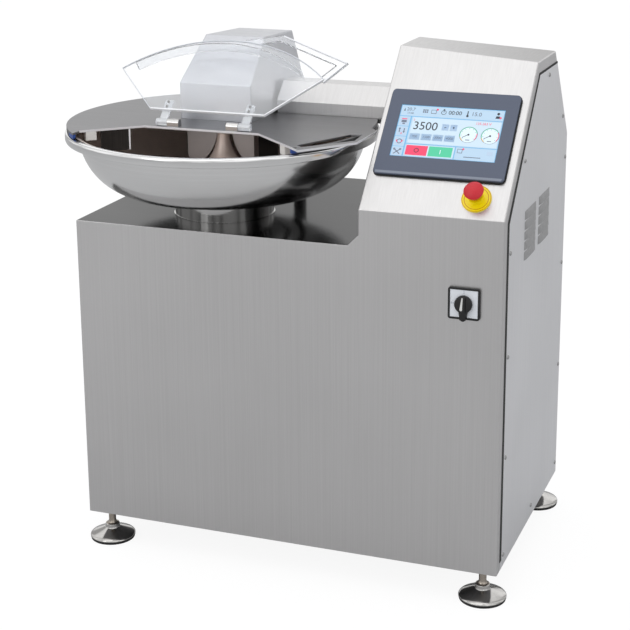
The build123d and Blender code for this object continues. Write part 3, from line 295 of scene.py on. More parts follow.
# Dark and light of the mottle, roughness, mottle size, depth and clear coat
mouldings = {
    "motor_paint": ((0.18, 0.21, 0.25), (0.22, 0.25, 0.29), 0.45, 500, 0.15, 0.1),
    "black_rubber": ((0.008, 0.008, 0.008), (0.018, 0.018, 0.018), 0.7, 900, 0.2),
    "blue_rubber": ((0.01, 0.05, 0.25), (0.02, 0.075, 0.32), 0.45, 600, 0.1),
    "black_plastic": ((0.004, 0.004, 0.005), (0.007, 0.007, 0.008), 0.42, 1200, 0.06),
    "bezel_plastic": ((0.082, 0.100, 0.150), (0.094, 0.113, 0.165), 0.4, 1500, 0.06),
    "screen_glass": ((0.45, 0.58, 0.78), (0.46, 0.59, 0.79), 0.2, 300, 0.0),
    "yellow_plastic": ((0.95, 0.76, 0.0), (0.98, 0.80, 0.0), 0.3, 500, 0.03, 0.1),
    "red_plastic": ((0.58, 0.010, 0.022), (0.64, 0.014, 0.028), 0.4, 500, 0.03),
    "white_plastic": ((0.7, 0.7, 0.68), (0.76, 0.76, 0.74), 0.4, 400, 0.06),
    "silver_plate": ((0.76, 0.79, 0.84), (0.86, 0.89, 0.93), 0.4, 2500, 0.15),
}
finish = {name: steel(name, *values) for name, values in steels.items()}
finish.update({name: moulding(name, *values) for name, values in mouldings.items()})
finish["clear_plastic"] = clearSheet("clear_plastic", (0.97, 0.98, 0.995), 0.02, 0.86)
# Warm tint inside the bowl: a painted reflection of the brownish surroundings, not the steel's own colour
bowlInside = steel("bowl_inside", (0.80, 0.69, 0.63), (0.86, 0.75, 0.69), 0.32, None, 0.05, 0.08)
bowlInside.node_tree.nodes["Principled BSDF"].inputs["Metallic"].default_value = 0.3
# Near-black baffles: painted shade for the dark under the cover plate, not the steel's own colour
baffleSteel = steel("baffle_steel", (0.03, 0.03, 0.03), (0.05, 0.05, 0.05), 0.08, upright, 0.0)
strapPlastic = clearSheet("strap_plastic", (0.95, 0.97, 0.99), 0.05, 0.6)


# Grey under the plate, blue only where the seal ends show beside the opening.
def sealFinish():
    mat, tree, shader = newTree("seal_rubber")
    grain = useGroup(tree, mottle, Size=600.0, Depth=0.1)
    parts = split(tree, addNode(tree, "ShaderNodeTexCoord").outputs["Object"])
    ends = mapRange(tree, parts["Y"], 1.0, 0.0, -0.250, -0.235)
    blue = mixColor(tree, grain.outputs["Mask"], (0.01, 0.05, 0.25), (0.02, 0.075, 0.32))
    grey = mixColor(tree, grain.outputs["Mask"], (0.05, 0.05, 0.05), (0.08, 0.08, 0.08))
    feedAll(tree, shader, {"Base Color": mixColor(tree, ends, grey, blue), "Roughness": 0.45,
                           "Normal": grain.outputs["Normal"]})
    return mat


sealRubber = sealFinish()
# Pale edge finish: a painted highlight for bright edges, used on the baffle end and the lid edges
edgeHighlightPaint = moulding("painted_edge_highlight", (0.88, 0.9, 0.93), (0.94, 0.95, 0.97), 0.3, 300, 0.05, 0.3)

for part in frame["record"]["subparts"]:
    mesh = nodes[part["node"]].data
    mesh.materials.clear()
    mesh.materials.append(finish[part["material_slot"]])
for name, tint in (("deck_sheet", 0.55), ("cover_sheet", 0.75)):
    sheet = finish[name].node_tree.nodes["Principled BSDF"]
    sheet.inputs["Specular Tint"].default_value = (tint, tint, tint, 1)  # dark at a low view
nodes["side_baffles"].data.materials[0] = baffleSteel
nodes["rim_seal"].data.materials[0] = sealRubber
nodes["cover_hinge_posts"].data.materials[0] = finish["deck_sheet"]
nodes["lid_hinge_straps"].data.materials[0] = strapPlastic
print("materials:", len(finish))


# Mesh helpers
def newMesh(name, verts, faces, mats=()):
    mesh = bpy.data.meshes.new(name)
    mesh.from_pydata(verts, [], faces)
    for mat in mats:
        mesh.materials.append(mat)
    return mesh


def ridePiece(name, mesh, body):
    piece = addObject(name, mesh)
    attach(piece, body)
    return piece


# Merges doubled points, moves those that a change names, and turns the faces outwards.
def cleanMesh(mesh, merge=True, change=None):
    work = bmesh.new()
    work.from_mesh(mesh)
    if merge:
        bmesh.ops.remove_doubles(work, verts=work.verts, dist=1e-6)
    for v in work.verts if change else ():
        change(v)
    bmesh.ops.recalc_face_normals(work, faces=work.faces)
    work.to_mesh(mesh)
    work.free()


def shadeSmooth(mesh, sharp):
    mesh.polygons.foreach_set("use_smooth", [True] * len(mesh.polygons))
    mesh.set_sharp_from_angle(angle=radians(sharp))


def meshPiece(name, verts, faces, mats, body, faceMats=None, smooth=True, sharp=35):
    mesh = newMesh(name, verts, faces, mats)
    if faceMats:
        mesh.polygons.foreach_set("material_index", faceMats)
    cleanMesh(mesh)
    if smooth:
        shadeSmooth(mesh, sharp)
    return ridePiece(name, mesh, body)


# Thin flat shapes, such as print and marks, left as they are drawn.
def flatPiece(name, verts, faces, mat, body):
    return ridePiece(name, newMesh(name, verts, faces, [mat]), body)


# Closed piece from outlines of equal length, each at its own level.
def stackPiece(name, layers, mat, body, place, smooth=True):
    n = len(layers[0][0])
    verts, faces = [], []
    for outline, level in layers:
        verts += [place(x, y, level) for x, y in outline]
    for layer in range(len(layers) - 1):
        for k in range(n):
            a, b = layer * n + k, layer * n + (k + 1) % n
            faces.append((a, b, b + n, a + n))
    faces += [tuple(range(n - 1, -1, -1)), tuple(range((len(layers) - 1) * n, len(layers) * n))]
    return meshPiece(name, verts, faces, [mat], body, smooth=smooth, sharp=40)


def asIs(x, y, z):
    return (x, y, z)


# Turns a profile of (radius, height) about an upright axis; bands give each stretch its material.
def lathe(name, profile, centre, mats, body, steps=128, bands=None):
    verts, faces, faceMats = [], [], []
    for k in range(steps):
        a = 2 * pi * k / steps
        verts += [(centre[0] + r * cos(a), centre[1] + r * sin(a), z) for r, z in profile]
    n = len(profile)
    for k in range(steps):
        a, b = k * n, (k + 1) % steps * n
        for i in range(n - 1):
            if profile[i][0] < 1e-7:
                faces.append((a + i, b + i + 1, a + i + 1))
            elif profile[i + 1][0] < 1e-7:
                faces.append((a + i, b + i, a + i + 1))
            else:
                faces.append((a + i, b + i, b + i + 1, a + i + 1))
            faceMats.append(bands[i] if bands else 0)
    return meshPiece(name, verts, faces, mats, body, faceMats)


def arc(centre, radius, start, end, steps):
    angles = [start + (end - start) * k / steps for k in range(steps + 1)]
    return [(centre[0] + radius * cos(a), centre[1] + radius * sin(a)) for a in angles]


# Bowl: rolled rim, round body outside, trough and flared hub inside
bowl = {"rimTop": 0.926, "rimRadius": 0.334, "rimHeight": 0.019, "rimWidth": 0.015, "troughOffset": 0.160,
        "troughRadius": 0.148, "troughZ": 0.952, "bodyOffset": 0.174, "bodyRadius": 0.132, "bodyDrop": 0.005,
        "boss": 0.100, "flange": 0.782, "spigot": 0.817, "spigotRadius": 0.0201, "edgeDrop": 0.008,
        "rimFillet": 0.005, "hubAngle": 20, "hubReach": 0.043, "hubTop": 0.920, "hubTip": 0.012}


def bowlProfile(p):
    bodyZ = p["rimTop"] - p["bodyDrop"]
    rimLow = p["rimTop"] - p["rimHeight"]
    jointAngle = -pi / 2 - atan2(p["bodyOffset"] - p["boss"],
                                 sqrt(p["bodyRadius"] ** 2 - (p["bodyOffset"] - p["boss"]) ** 2))
    edgeAngle = -atan2(bodyZ - rimLow, sqrt(p["bodyRadius"] ** 2 - (bodyZ - rimLow) ** 2))
    outside = [(0, p["spigot"]), (p["spigotRadius"], p["spigot"]), (p["spigotRadius"], p["flange"]),
               (p["boss"], p["flange"])]
    outside += arc((p["bodyOffset"], bodyZ), p["bodyRadius"], jointAngle, edgeAngle, 26)
    outer, fillet = p["rimRadius"], p["rimFillet"]
    outside += [(outer - 0.004, rimLow), (outer - 0.0012, rimLow + 0.0012), (outer, rimLow + 0.004),
                (outer, p["rimTop"] - fillet)]
    outside += arc((outer - fillet, p["rimTop"] - fillet), fillet, 0, pi / 2, 5)[1:]
    inner = outer - p["rimWidth"]
    edgeZ = p["rimTop"] - p["edgeDrop"]
    edgeR = p["troughOffset"] + sqrt(p["troughRadius"] ** 2 - (p["troughZ"] - edgeZ) ** 2)
    inside = [(inner, p["rimTop"]), (inner - 0.003, p["rimTop"] - 0.001), (edgeR + 0.003, edgeZ + 0.003)]
    startAngle = -atan2(p["troughZ"] - edgeZ, edgeR - p["troughOffset"])
    hubAngle = radians(p["hubAngle"])
    inside += arc((p["troughOffset"], p["troughZ"]), p["troughRadius"], startAngle, -pi / 2 - hubAngle, 30)
    footR, footZ = inside[-1]
    flare = [(footR, footZ), (footR - p["hubReach"], footZ + p["hubReach"] * tan(hubAngle)),
             (p["hubTip"] + 0.002, footZ + 0.029), (p["hubTip"], p["hubTop"])]
    steps = 18
    for k in range(1, steps + 1):
        s = k / steps
        weights = ((1 - s) ** 3, 3 * s * (1 - s) ** 2, 3 * s * s * (1 - s), s ** 3)
        inside.append(tuple(sum(w * c[axis] for w, c in zip(weights, flare)) for axis in (0, 1)))
    inside.append((0, p["hubTop"]))
    return outside + inside, [0] * len(outside) + [1] * (len(inside) - 1)


bowlShape, bowlBands = bowlProfile(bowl)
bowlPiece = lathe("turnedBowl", bowlShape, bowlCentre, [finish["bowl_steel"], bowlInside], "bowl_rotor",
                  192, bowlBands)
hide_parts("bowl")
print("bowl turned")

# Feet: polished disc, socket and hexagon, over a rubber rim
foot = {"profile": [(0, 0.003), (0.0488, 0.003), (0.0496, 0.0038), (0.0496, 0.0060), (0.0499, 0.0064),
                    (0.0498, 0.0076), (0.0487, 0.0091), (0.044, 0.0115),
                    (0.034, 0.0160), (0.024, 0.0203), (0.0195, 0.0222), (0.0165, 0.0235), (0.0155, 0.0255),
                    (0.0155, 0.0318), (0.0145, 0.0330), (0.0105, 0.0345), (0.0092, 0.0368), (0.0080, 0.0405),
                    (0.0080, 0.1020), (0, 0.1020)],
        "bands": [2] * 3 + [0] * 11 + [1] * 5,  # rubber rim, disc with its socket, stem
        "nutRadius": 0.0105, "nutLow": 0.063, "nutHigh": 0.0705}
footPlaces = {"front_left": (-0.4005, -0.1755), "front_right": (0.4555, -0.1755),
              "rear_left": (-0.4005, 0.3165), "rear_right": (0.4555, 0.3165)}
stemSteel = steel("stem_steel", (0.34, 0.30, 0.26), (0.42, 0.38, 0.33), 0.25, (300, 300, 300), 0.05)
footMats = [finish["foot_steel"], stemSteel, finish["black_rubber"]]
for corner, (x, y) in footPlaces.items():
    disc = lathe(f"{corner}Disc", foot["profile"], (x, y), footMats, f"{corner}_levelling_foot",
                 96, foot["bands"])
    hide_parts(f"{corner}_foot")
    hexagon = arc((x, y), foot["nutRadius"], 0, 2 * pi, 6)[:6]
    stackPiece(f"{corner}Nut", [(hexagon, foot["nutLow"]), (hexagon, foot["nutHigh"])], stemSteel,
               f"{corner}_levelling_foot", asIs, smooth=False)
print("feet turned")

# Slope frame: u across, v up the slope from its foot, w out of it
slopeAngle = radians(46.9)
slopeFoot = (-0.2095, 0.815)
screen = {"u": 0.3415, "v": 0.185, "width": 0.2155, "height": 0.1215, "glass": 0.00705}
screen["ratio"] = screen["width"] / screen["height"]


def onSlope(u, v, w):
    return (u, slopeFoot[0] + v * cos(slopeAngle) - w * sin(slopeAngle),
            slopeFoot[1] + v * sin(slopeAngle) + w * cos(slopeAngle))


def onScreen(fx, fy, lift):
    return onSlope(screen["u"] + (fx - 0.5) * screen["width"], screen["v"] + (0.5 - fy) * screen["height"],
                   screen["glass"] + lift)


def litInk(name, color, glow):
    mat, tree, shader = newTree(name)
    grain = useGroup(tree, mottle, Size=2500.0, Depth=0.0)
    pale = tuple(min(1, c * 1.04 + 0.003) for c in color)
    shade = mixColor(tree, grain.outputs["Mask"], color, pale)
    feedAll(tree, shader, {"Base Color": shade, "Emission Color": shade, "Emission Strength": glow,
                           "Roughness": 0.35})
    return mat


inkColors = {
    "sky": (0.42, 0.57, 0.71), "page": (0.53, 0.66, 0.76), "rule": (0.17, 0.42, 0.66),
    "dark": (0.02, 0.025, 0.04), "grey": (0.16, 0.19, 0.26), "box": (0.42, 0.54, 0.68),
    "red": (0.78, 0.05, 0.13), "green": (0.07, 0.52, 0.30), "white": (0.66, 0.78, 0.84),
    "amber": (0.75, 0.42, 0.03),
}
inkGlow = {"dark": 0.0, "grey": 0.05}  # the others glow by 0.25
ink = {key: litInk(f"ink_{key}", color, inkGlow.get(key, 0.25)) for key, color in inkColors.items()}
drawn = {key: ([], []) for key in ink}


def gather(verts, faces, points, pointFaces):
    faces += [tuple(len(verts) + i for i in face) for face in pointFaces]
    verts += points


def drawShape(color, points, lift):
    gather(*drawn[color], [onScreen(fx, fy, lift) for fx, fy in points], [range(len(points))])


def drawRect(color, x0, y0, x1, y1, lift=0.0001):
    drawShape(color, [(x0, y1), (x1, y1), (x1, y0), (x0, y0)], lift)


def drawRing(color, fx, fy, inner, outer, start, end, lift=0.0002, steps=40):
    for step in range(steps):
        a = radians(start + (end - start) * step / steps)
        b = radians(start + (end - start) * (step + 1) / steps)
        corners = ((inner, a), (outer, a), (outer, b), (inner, b))
        drawShape(color, [(fx + r * cos(t), fy - r * screen["ratio"] * sin(t)) for r, t in corners], lift)


def drawBar(color, x0, y0, x1, y1, width, lift=0.0003):
    dx, dy = x1 - x0, (y1 - y0) / screen["ratio"]
    length = hypot(dx, dy)
    nx, ny = -dy / length * width / 2, dx / length * width / 2 * screen["ratio"]
    drawShape(color, [(x0 + nx, y0 + ny), (x0 - nx, y0 - ny), (x1 - nx, y1 - ny), (x1 + nx, y1 + ny)], lift)


def textMesh(words, height):
    data = bpy.data.curves.new("words", "FONT")
    data.body = words
    data.size = height
    data.align_x = "CENTER"
    data.align_y = "CENTER"
    carrier = addObject("words", data)
    bpy.context.view_layer.update()
    mesh = bpy.data.meshes.new_from_object(carrier.evaluated_get(bpy.context.evaluated_depsgraph_get()))
    points = [v.co.copy() for v in mesh.vertices]
    faces = [tuple(f.vertices) for f in mesh.polygons]
    bpy.data.objects.remove(carrier)
    bpy.data.curves.remove(data)
    bpy.data.meshes.remove(mesh)
    return points, faces


def drawText(color, words, fx, fy, height, stretch=1.0):
    points, faces = textMesh(words, height)
    gather(*drawn[color], [onScreen(fx + p.x * stretch / screen["width"], fy - p.y / screen["height"], 0.0003)
                           for p in points], faces)


# The display: status bar, tool column, speed field, dials and the stop and start keys.
# Places are shares of its width and height, from its top left corner.
def drawDisplay():
    drawRect("sky", 0.0, 0.0, 1.0, 1.0, 0.0)
    for border in ((0.0, 0.0, 1.0, 0.012), (0.0, 0.988, 1.0, 1.0), (0.0, 0.0, 0.007, 1.0),
                   (0.993, 0.0, 1.0, 1.0)):
        drawRect("rule", *border)
    drawRect("page", 0.14, 0.235, 0.985, 0.73)
    drawRect("page", 0.14, 0.765, 0.6, 0.975)
    for divider in ((0.0, 0.212, 1.0, 0.226), (0.113, 0.22, 0.127, 1.0), (0.12, 0.74, 1.0, 0.754),
                    (0.603, 0.75, 0.613, 1.0)):
        drawRect("rule", *divider, 0.0002)
    for k in range(1, 4):
        drawRect("rule", 0.0, 0.218 + k * 0.196, 0.12, 0.226 + k * 0.196, 0.0002)
    for k in range(4):
        drawRect("box", 0.018, 0.245 + k * 0.196, 0.1, 0.398 + k * 0.196)
    # tool column: bowl, arrows, ring and crossed spanners
    drawRect("red", 0.034, 0.268, 0.084, 0.285, 0.0002)
    drawRect("grey", 0.034, 0.30, 0.084, 0.345, 0.0002)
    drawRect("grey", 0.047, 0.355, 0.071, 0.38, 0.0002)
    for ends in ((0.036, 0.47, 0.036, 0.54), (0.08, 0.46, 0.08, 0.53), (0.03, 0.865, 0.088, 0.955),
                 (0.088, 0.865, 0.03, 0.955)):
        drawBar("grey", *ends, 0.009)
    drawShape("dark", [(0.026, 0.475), (0.046, 0.475), (0.036, 0.45)], 0.0003)
    drawShape("dark", [(0.07, 0.525), (0.08, 0.55), (0.09, 0.525)], 0.0003)
    drawShape("red", [(0.05, 0.57), (0.066, 0.57), (0.058, 0.54)], 0.0003)
    drawRing("grey", 0.059, 0.712, 0.018, 0.026, 0, 360)
    drawBar("red", 0.028, 0.69, 0.04, 0.73, 0.009)
    drawBar("red", 0.09, 0.69, 0.078, 0.73, 0.009)
    drawRing("grey", 0.03, 0.865, 0.004, 0.011, 0, 360, steps=16)
    drawRing("grey", 0.088, 0.865, 0.004, 0.011, 0, 360, steps=16)
    # status bar
    drawShape("dark", [(0.033, 0.12), (0.047, 0.12), (0.04, 0.06)], 0.0003)
    drawText("grey", "20.7", 0.1, 0.085, 0.0105)
    drawText("grey", "17:40", 0.1, 0.16, 0.0062)
    for k in range(3):
        drawRect("grey", 0.218 + k * 0.018, 0.07, 0.231 + k * 0.018, 0.098, 0.0002)
        drawRect("grey", 0.218 + k * 0.018, 0.108, 0.231 + k * 0.018, 0.136, 0.0002)
    drawRect("grey", 0.298, 0.07, 0.35, 0.145, 0.0002)
    drawRect("sky", 0.303, 0.08, 0.345, 0.135, 0.0003)
    drawRing("red", 0.355, 0.062, 0.0, 0.011, 0, 360, steps=18)
    drawRing("dark", 0.42, 0.11, 0.02, 0.0245, 0, 360)
    drawBar("dark", 0.42, 0.11, 0.42, 0.075, 0.005)
    drawBar("dark", 0.413, 0.055, 0.427, 0.055, 0.011)
    drawText("dark", "00:00", 0.53, 0.11, 0.0125)
    drawRing("dark", 0.65, 0.15, 0.0, 0.012, 0, 360, steps=20)
    drawBar("dark", 0.65, 0.145, 0.65, 0.055, 0.009)
    drawText("grey", "15.0", 0.735, 0.11, 0.0125)
    drawRing("dark", 0.94, 0.075, 0.0, 0.0135, 0, 360, steps=20)
    drawShape("dark", [(0.918, 0.165), (0.962, 0.165), (0.956, 0.12), (0.924, 0.12)], 0.0003)
    drawRing("red", 0.966, 0.15, 0.0, 0.010, 0, 360, 0.0004, steps=18)
    # speed field
    drawText("red", "2", 0.155, 0.285, 0.0062)
    drawText("dark", "3500", 0.275, 0.40, 0.0265, stretch=0.98)
    drawRect("box", 0.435, 0.335, 0.5, 0.455)
    drawRect("box", 0.515, 0.335, 0.58, 0.455)
    drawBar("dark", 0.458, 0.395, 0.477, 0.395, 0.005)
    drawBar("dark", 0.537, 0.395, 0.559, 0.395, 0.006)
    drawBar("dark", 0.548, 0.375, 0.548, 0.415, 0.006)
    for k, words in enumerate(("700", "1500", "3000", "4000")):
        drawRect("box", 0.145 + k * 0.112, 0.545, 0.243 + k * 0.112, 0.665)
        drawText("grey", words, 0.194 + k * 0.112, 0.605, 0.0075)
    drawText("red", "135.263 V", 0.82, 0.285, 0.0078)
    for fx, split in ((0.70, 12), (0.905, 30)):
        drawRing("white", fx, 0.505, 0.0, 0.083, 0, 360, 0.00015)
        drawRing("green", fx, 0.505, 0.0775, 0.083, split, 200, 0.00025)
        drawRing("red", fx, 0.505, 0.0765, 0.083, -40, split, 0.00025)
        drawRing("amber", fx, 0.505, 0.0775, 0.083, 200, 235, 0.00025)
        drawRing("grey", fx, 0.505, 0.0835, 0.0865, 0, 360, 0.0002)
        for k in range(9):
            a = radians(-40 + k * 32.5)
            tick = [(fx + r * cos(a), 0.505 - r * screen["ratio"] * sin(a)) for r in (0.062, 0.072)]
            drawBar("grey", *tick[0], *tick[1], 0.0035)
        drawBar("dark", fx + 0.006, 0.495, fx - 0.055, 0.565, 0.0055, 0.00035)
        drawRing("dark", fx, 0.505, 0.0, 0.0095, 0, 360, 0.0004, steps=20)
        drawRect("grey", fx - 0.02, 0.60, fx + 0.02, 0.615, 0.0003)
    # stop and start keys, and the note panel
    drawRect("red", 0.14, 0.775, 0.347, 0.962, 0.0002)
    drawRect("green", 0.36, 0.775, 0.585, 0.962, 0.0002)
    drawRing("dark", 0.2435, 0.868, 0.017, 0.0235, 0, 360, 0.0004)
    drawBar("white", 0.4725, 0.83, 0.4725, 0.91, 0.007, 0.0004)
    drawRect("grey", 0.63, 0.785, 0.678, 0.865, 0.0002)
    drawRect("sky", 0.635, 0.795, 0.673, 0.855, 0.0003)
    drawRing("red", 0.684, 0.785, 0.0, 0.010, 0, 360, steps=18)
    drawRect("grey", 0.70, 0.925, 0.86, 0.938, 0.0002)
    drawRect("box", 0.91, 0.80, 0.965, 0.875, 0.0002)


drawDisplay()
for key, (verts, faces) in drawn.items():
    flatPiece(f"display_{key}", verts, faces, ink[key], "cabinet")
print("display drawn")

# Collar under the bowl: a plain turned drum on a thin base ring
collar = {"radius": 0.107, "base": 0.1090, "baseTop": 0.7402, "deck": 0.7392, "top": 0.770, "bore": 0.030}
collarSteel = steel("collar_steel", (0.46, 0.455, 0.45), (0.52, 0.515, 0.51), 0.08, None, 0.02, 0.05)
inner, rim, base = collar["bore"], collar["radius"], collar["base"]
collarShape = [(inner, collar["deck"]), (base, collar["deck"]), (base, collar["baseTop"]),
               (rim, collar["baseTop"] + 0.0004), (rim, collar["top"] - 0.002), (rim - 0.002, collar["top"]),
               (inner, collar["top"]), (inner, collar["deck"])]
collarPiece = lathe("collarDrum", collarShape, bowlCentre, [collarSteel], "cabinet")
housing = {"radius": 0.055, "low": 0.611, "high": 0.737, "bore": 0.0305}
drumShape = [(housing["bore"], housing["low"]), (housing["radius"], housing["low"]),
             (housing["radius"], housing["high"]), (housing["bore"], housing["high"]),
             (housing["bore"], housing["low"])]
lathe("bearingDrum", drumShape, bowlCentre, [finish["bearing_steel"]], "cabinet", 96)
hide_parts("bowl_bearing_housing")

# Cover plate: the node's own shape, with the lip under its front edge cut down to a bead
lip = {"under": 0.936, "height": 0.0012, "skip": 0.005}


def cutLip(v):
    if v.co.z < lip["under"] - lip["skip"]:
        v.co.z = lip["under"] - lip["height"]


plateMesh = nodes["cover_plate"].data.copy()
cleanMesh(plateMesh, change=cutLip)
plateMesh.materials.clear()
plateMesh.materials.append(finish["cover_sheet"])
platePiece = ridePiece("coverPlate", plateMesh, "cover")
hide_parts("cover_plate")
print("collar and cover plate made")


# A thin bar along a path: proud of it on its right, and into the sheet on its left, or turned the other way.
def edgeBar(name, path, place, p, mat, body, turn=1):
    verts = []
    for k, (x, y) in enumerate(path):
        a, b = path[max(0, k - 1)], path[min(len(path) - 1, k + 1)]
        length = hypot(b[0] - a[0], b[1] - a[1])
        nx, ny = -(b[1] - a[1]) / length * turn, (b[0] - a[0]) / length * turn
        ox, oy = x - nx * p["proud"], y - ny * p["proud"]
        ix, iy = x + nx * p["depth"], y + ny * p["depth"]
        low, high = p["low"], p["high"]
        verts += [place(ox, oy, low), place(ix, iy, low), place(ix, iy, high), place(ox, oy, high)]
    last = 4 * (len(path) - 1)
    faces = [(k + a, k + b, k + b + 4, k + a + 4) for k in range(0, last, 4)
             for a, b in ((0, 1), (1, 2), (2, 3), (3, 0))]
    faces += [(0, 3, 2, 1), (last, last + 1, last + 2, last + 3)]
    return meshPiece(name, verts, faces, [mat], body)


# Painted highlight along the cut edge of the cover plate: a pale bar along the opening and round the grip
cutEdge = {"low": 0.9362, "high": 0.9403, "proud": 0.0004, "depth": 0.0006,
           "path": ((-0.232, -0.207), (-0.129, -0.113), (0.129, -0.113), (0.257, -0.232), (0.265, -0.242),
                    (0.349, -0.133), (0.350, -0.009))}
cutPath = [(bowlCentre[0] + x, bowlCentre[1] + y) for x, y in cutEdge["path"]]
cutEdgeHighlight = moulding("cut_edge_painted_highlight", (0.62, 0.62, 0.64), (0.74, 0.74, 0.76), 0.3, 700, 0.1)
edgeBar("coverCutEdge", cutPath, asIs, cutEdge, cutEdgeHighlight, "cover")


# Repeated pieces: one shape set at each point by geometry nodes
def scatterTree():
    tree = bpy.data.node_groups.new("setAtPoints", "GeometryNodeTree")
    for title, kind in (("Points", "Geometry"), ("Shape", "Object"), ("Size", "Float"), ("Finish", "Material")):
        tree.interface.new_socket(name=title, in_out="INPUT", socket_type=f"NodeSocket{kind}")
    tree.interface.new_socket(name="Geometry", in_out="OUTPUT", socket_type="NodeSocketGeometry")
    enter, leave = addNode(tree, "NodeGroupInput"), addNode(tree, "NodeGroupOutput")
    shape = addNode(tree, "GeometryNodeObjectInfo")
    copies = addNode(tree, "GeometryNodeInstanceOnPoints")
    real = addNode(tree, "GeometryNodeRealizeInstances")
    paint = addNode(tree, "GeometryNodeSetMaterial")
    link(tree, enter.outputs["Shape"], shape.inputs["Object"])
    link(tree, enter.outputs["Points"], copies.inputs["Points"])
    link(tree, shape.outputs["Geometry"], copies.inputs["Instance"])
    link(tree, enter.outputs["Size"], copies.inputs["Scale"])
    link(tree, copies.outputs["Instances"], real.inputs[0])
    link(tree, real.outputs[0], paint.inputs["Geometry"])
    link(tree, enter.outputs["Finish"], paint.inputs["Material"])
    link(tree, paint.outputs["Geometry"], leave.inputs["Geometry"])
    return tree


setAtPoints = scatterTree()


def scatter(name, shape, points, mat, body, size=1.0, sharp=35):
    verts, faces = shape
    shapeObject = addObject(name + "Shape", newMesh(name + "Shape", verts, faces))
    carrier = addObject(name + "Points", newMesh(name + "Points", points, []))
    modifier = carrier.modifiers.new("set", "NODES")
    modifier.node_group = setAtPoints
    sockets = {item.name: item.identifier for item in setAtPoints.interface.items_tree if item.in_out == "INPUT"}
    modifier[sockets["Shape"]] = shapeObject
    modifier[sockets["Size"]] = size
    modifier[sockets["Finish"]] = mat
    bpy.context.view_layer.update()
    mesh = bpy.data.meshes.new_from_object(carrier.evaluated_get(bpy.context.evaluated_depsgraph_get()))
    carrier.modifiers.remove(modifier)
    for spare in (carrier, shapeObject):
        bpy.data.objects.remove(spare)
    cleanMesh(mesh, merge=False)
    shadeSmooth(mesh, sharp)
    mesh.materials.clear()
    mesh.materials.append(mat)
    return ridePiece(name, mesh, body)


# Domed screw head that points along an axis, with a socket sunk in its middle.
def screwShape(p, side, out, steps=18):
    radius, height, socket = p["radius"], p["height"], p["socket"]
    rings = [(radius, 0.0), (radius, height * 0.35), (radius * 0.9, height * 0.72), (radius * 0.62, height),
             (socket, height), (socket, height * 0.3)]
    verts, faces = [], []
    for ringRadius, rise in rings:
        for k in range(steps):
            a = 2 * pi * k / steps
            verts.append(side * (ringRadius * cos(a)) + out.cross(side) * (ringRadius * sin(a)) + out * rise)
    for level in range(len(rings) - 1):
        for k in range(steps):
            a, b = level * steps + k, level * steps + (k + 1) % steps
            faces.append((a, b, b + steps, a + steps))
    faces.append(tuple(range((len(rings) - 1) * steps, len(rings) * steps)))
    faces.append(tuple(range(steps - 1, -1, -1)))
    return verts, faces


# Side of the tower: plain panel, pressed louvres, black seam and screws
side = {"face": 0.4925, "sheet": 0.002, "front": -0.2095, "back": 0.3505, "low": 0.070, "roof": 1.085,
        "knee": 0.882, "roofBack": 0.2045, "margin": 0.0275, "seam": 0.024, "seamWidth": 0.0115,
        "seamProud": 0.0008, "seamSunk": 0.0015, "seamLow": 0.089}


def sideOutline(inset):
    ceiling = side["roof"] - inset
    frontZ = slopeFoot[1] + inset * tan(slopeAngle) - inset / cos(slopeAngle)
    topY = side["front"] + (ceiling - slopeFoot[1] + inset / cos(slopeAngle)) / tan(slopeAngle)
    fall = (side["roof"] - side["knee"]) / (side["back"] - side["roofBack"])
    backY = side["back"] - (ceiling - side["knee"]) / fall
    return [(side["front"] + inset, side["low"]), (side["front"] + inset, frontZ), (topY, ceiling),
            (backY, ceiling), (side["back"], side["knee"]), (side["back"], side["low"])]


def onSide(y, z, x):
    return (x, y, z)


panelOutline = sideOutline(side["margin"])
panelLayers = [(panelOutline, side["face"] - side["sheet"]), (panelOutline, side["face"])]
panelPiece = stackPiece("sidePanel", panelLayers, finish["side_sheet"], "cabinet", onSide,
                        smooth=False)
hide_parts("right_side_panel")

seamInner, seamOuter = sideOutline(side["seam"] + side["seamWidth"]), sideOutline(side["seam"])
seamInner[0], seamOuter[0] = (seamInner[0][0], side["seamLow"]), (seamOuter[0][0], side["seamLow"])
roofEdge = sideOutline(side["margin"] + 0.001)  # under the roof the seam narrows to a line
seamInner[2], seamInner[3] = (seamInner[2][0], roofEdge[2][1]), (roofEdge[3][0], roofEdge[3][1])
verts, faces = [], []
for depth in (side["face"] - side["seamSunk"], side["face"] + side["seamProud"]):
    verts += [(depth, y, z) for y, z in seamOuter[:4] + seamInner[:4]]
for k in range(3):
    faces += [(k, k + 1, k + 5, k + 4), (k + 8, k + 12, k + 13, k + 9),
              (k, k + 8, k + 9, k + 1), (k + 4, k + 5, k + 13, k + 12)]
faces += [(0, 4, 12, 8), (3, 11, 15, 7)]
seamPiece = meshPiece("sideSeam", verts, faces, [finish["black_rubber"]], "cabinet",
                      smooth=False)
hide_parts("side_panel_gasket")

louvre = {"length": 0.099, "height": 0.0195, "pitch": 0.0213, "depth": 0.0038, "rows": 5,
          "columns": ((0.0075, 0.7445), (0.1325, 0.7455)), "steps": 10}


def louvreShape(p):
    verts, faces = [], []
    for step in range(p["steps"] + 1):
        s = step / p["steps"]
        swell = sin(pi * s) ** 0.25 if 0 < s < 1 else 0.0
        y = (s - 0.5) * p["length"]
        top, bulge = p["height"] / 2, p["depth"] * swell
        verts += [(0, y, -top), (bulge, y, -top + 0.001), (bulge * 0.75, y, -top * 0.2),
                  (bulge * 0.3, y, top * 0.55), (0, y, top * 0.8)]
    for step in range(p["steps"]):
        for k in range(4):
            a = step * 5 + k
            faces.append((a, a + 5, a + 6, a + 1))
    return verts, faces


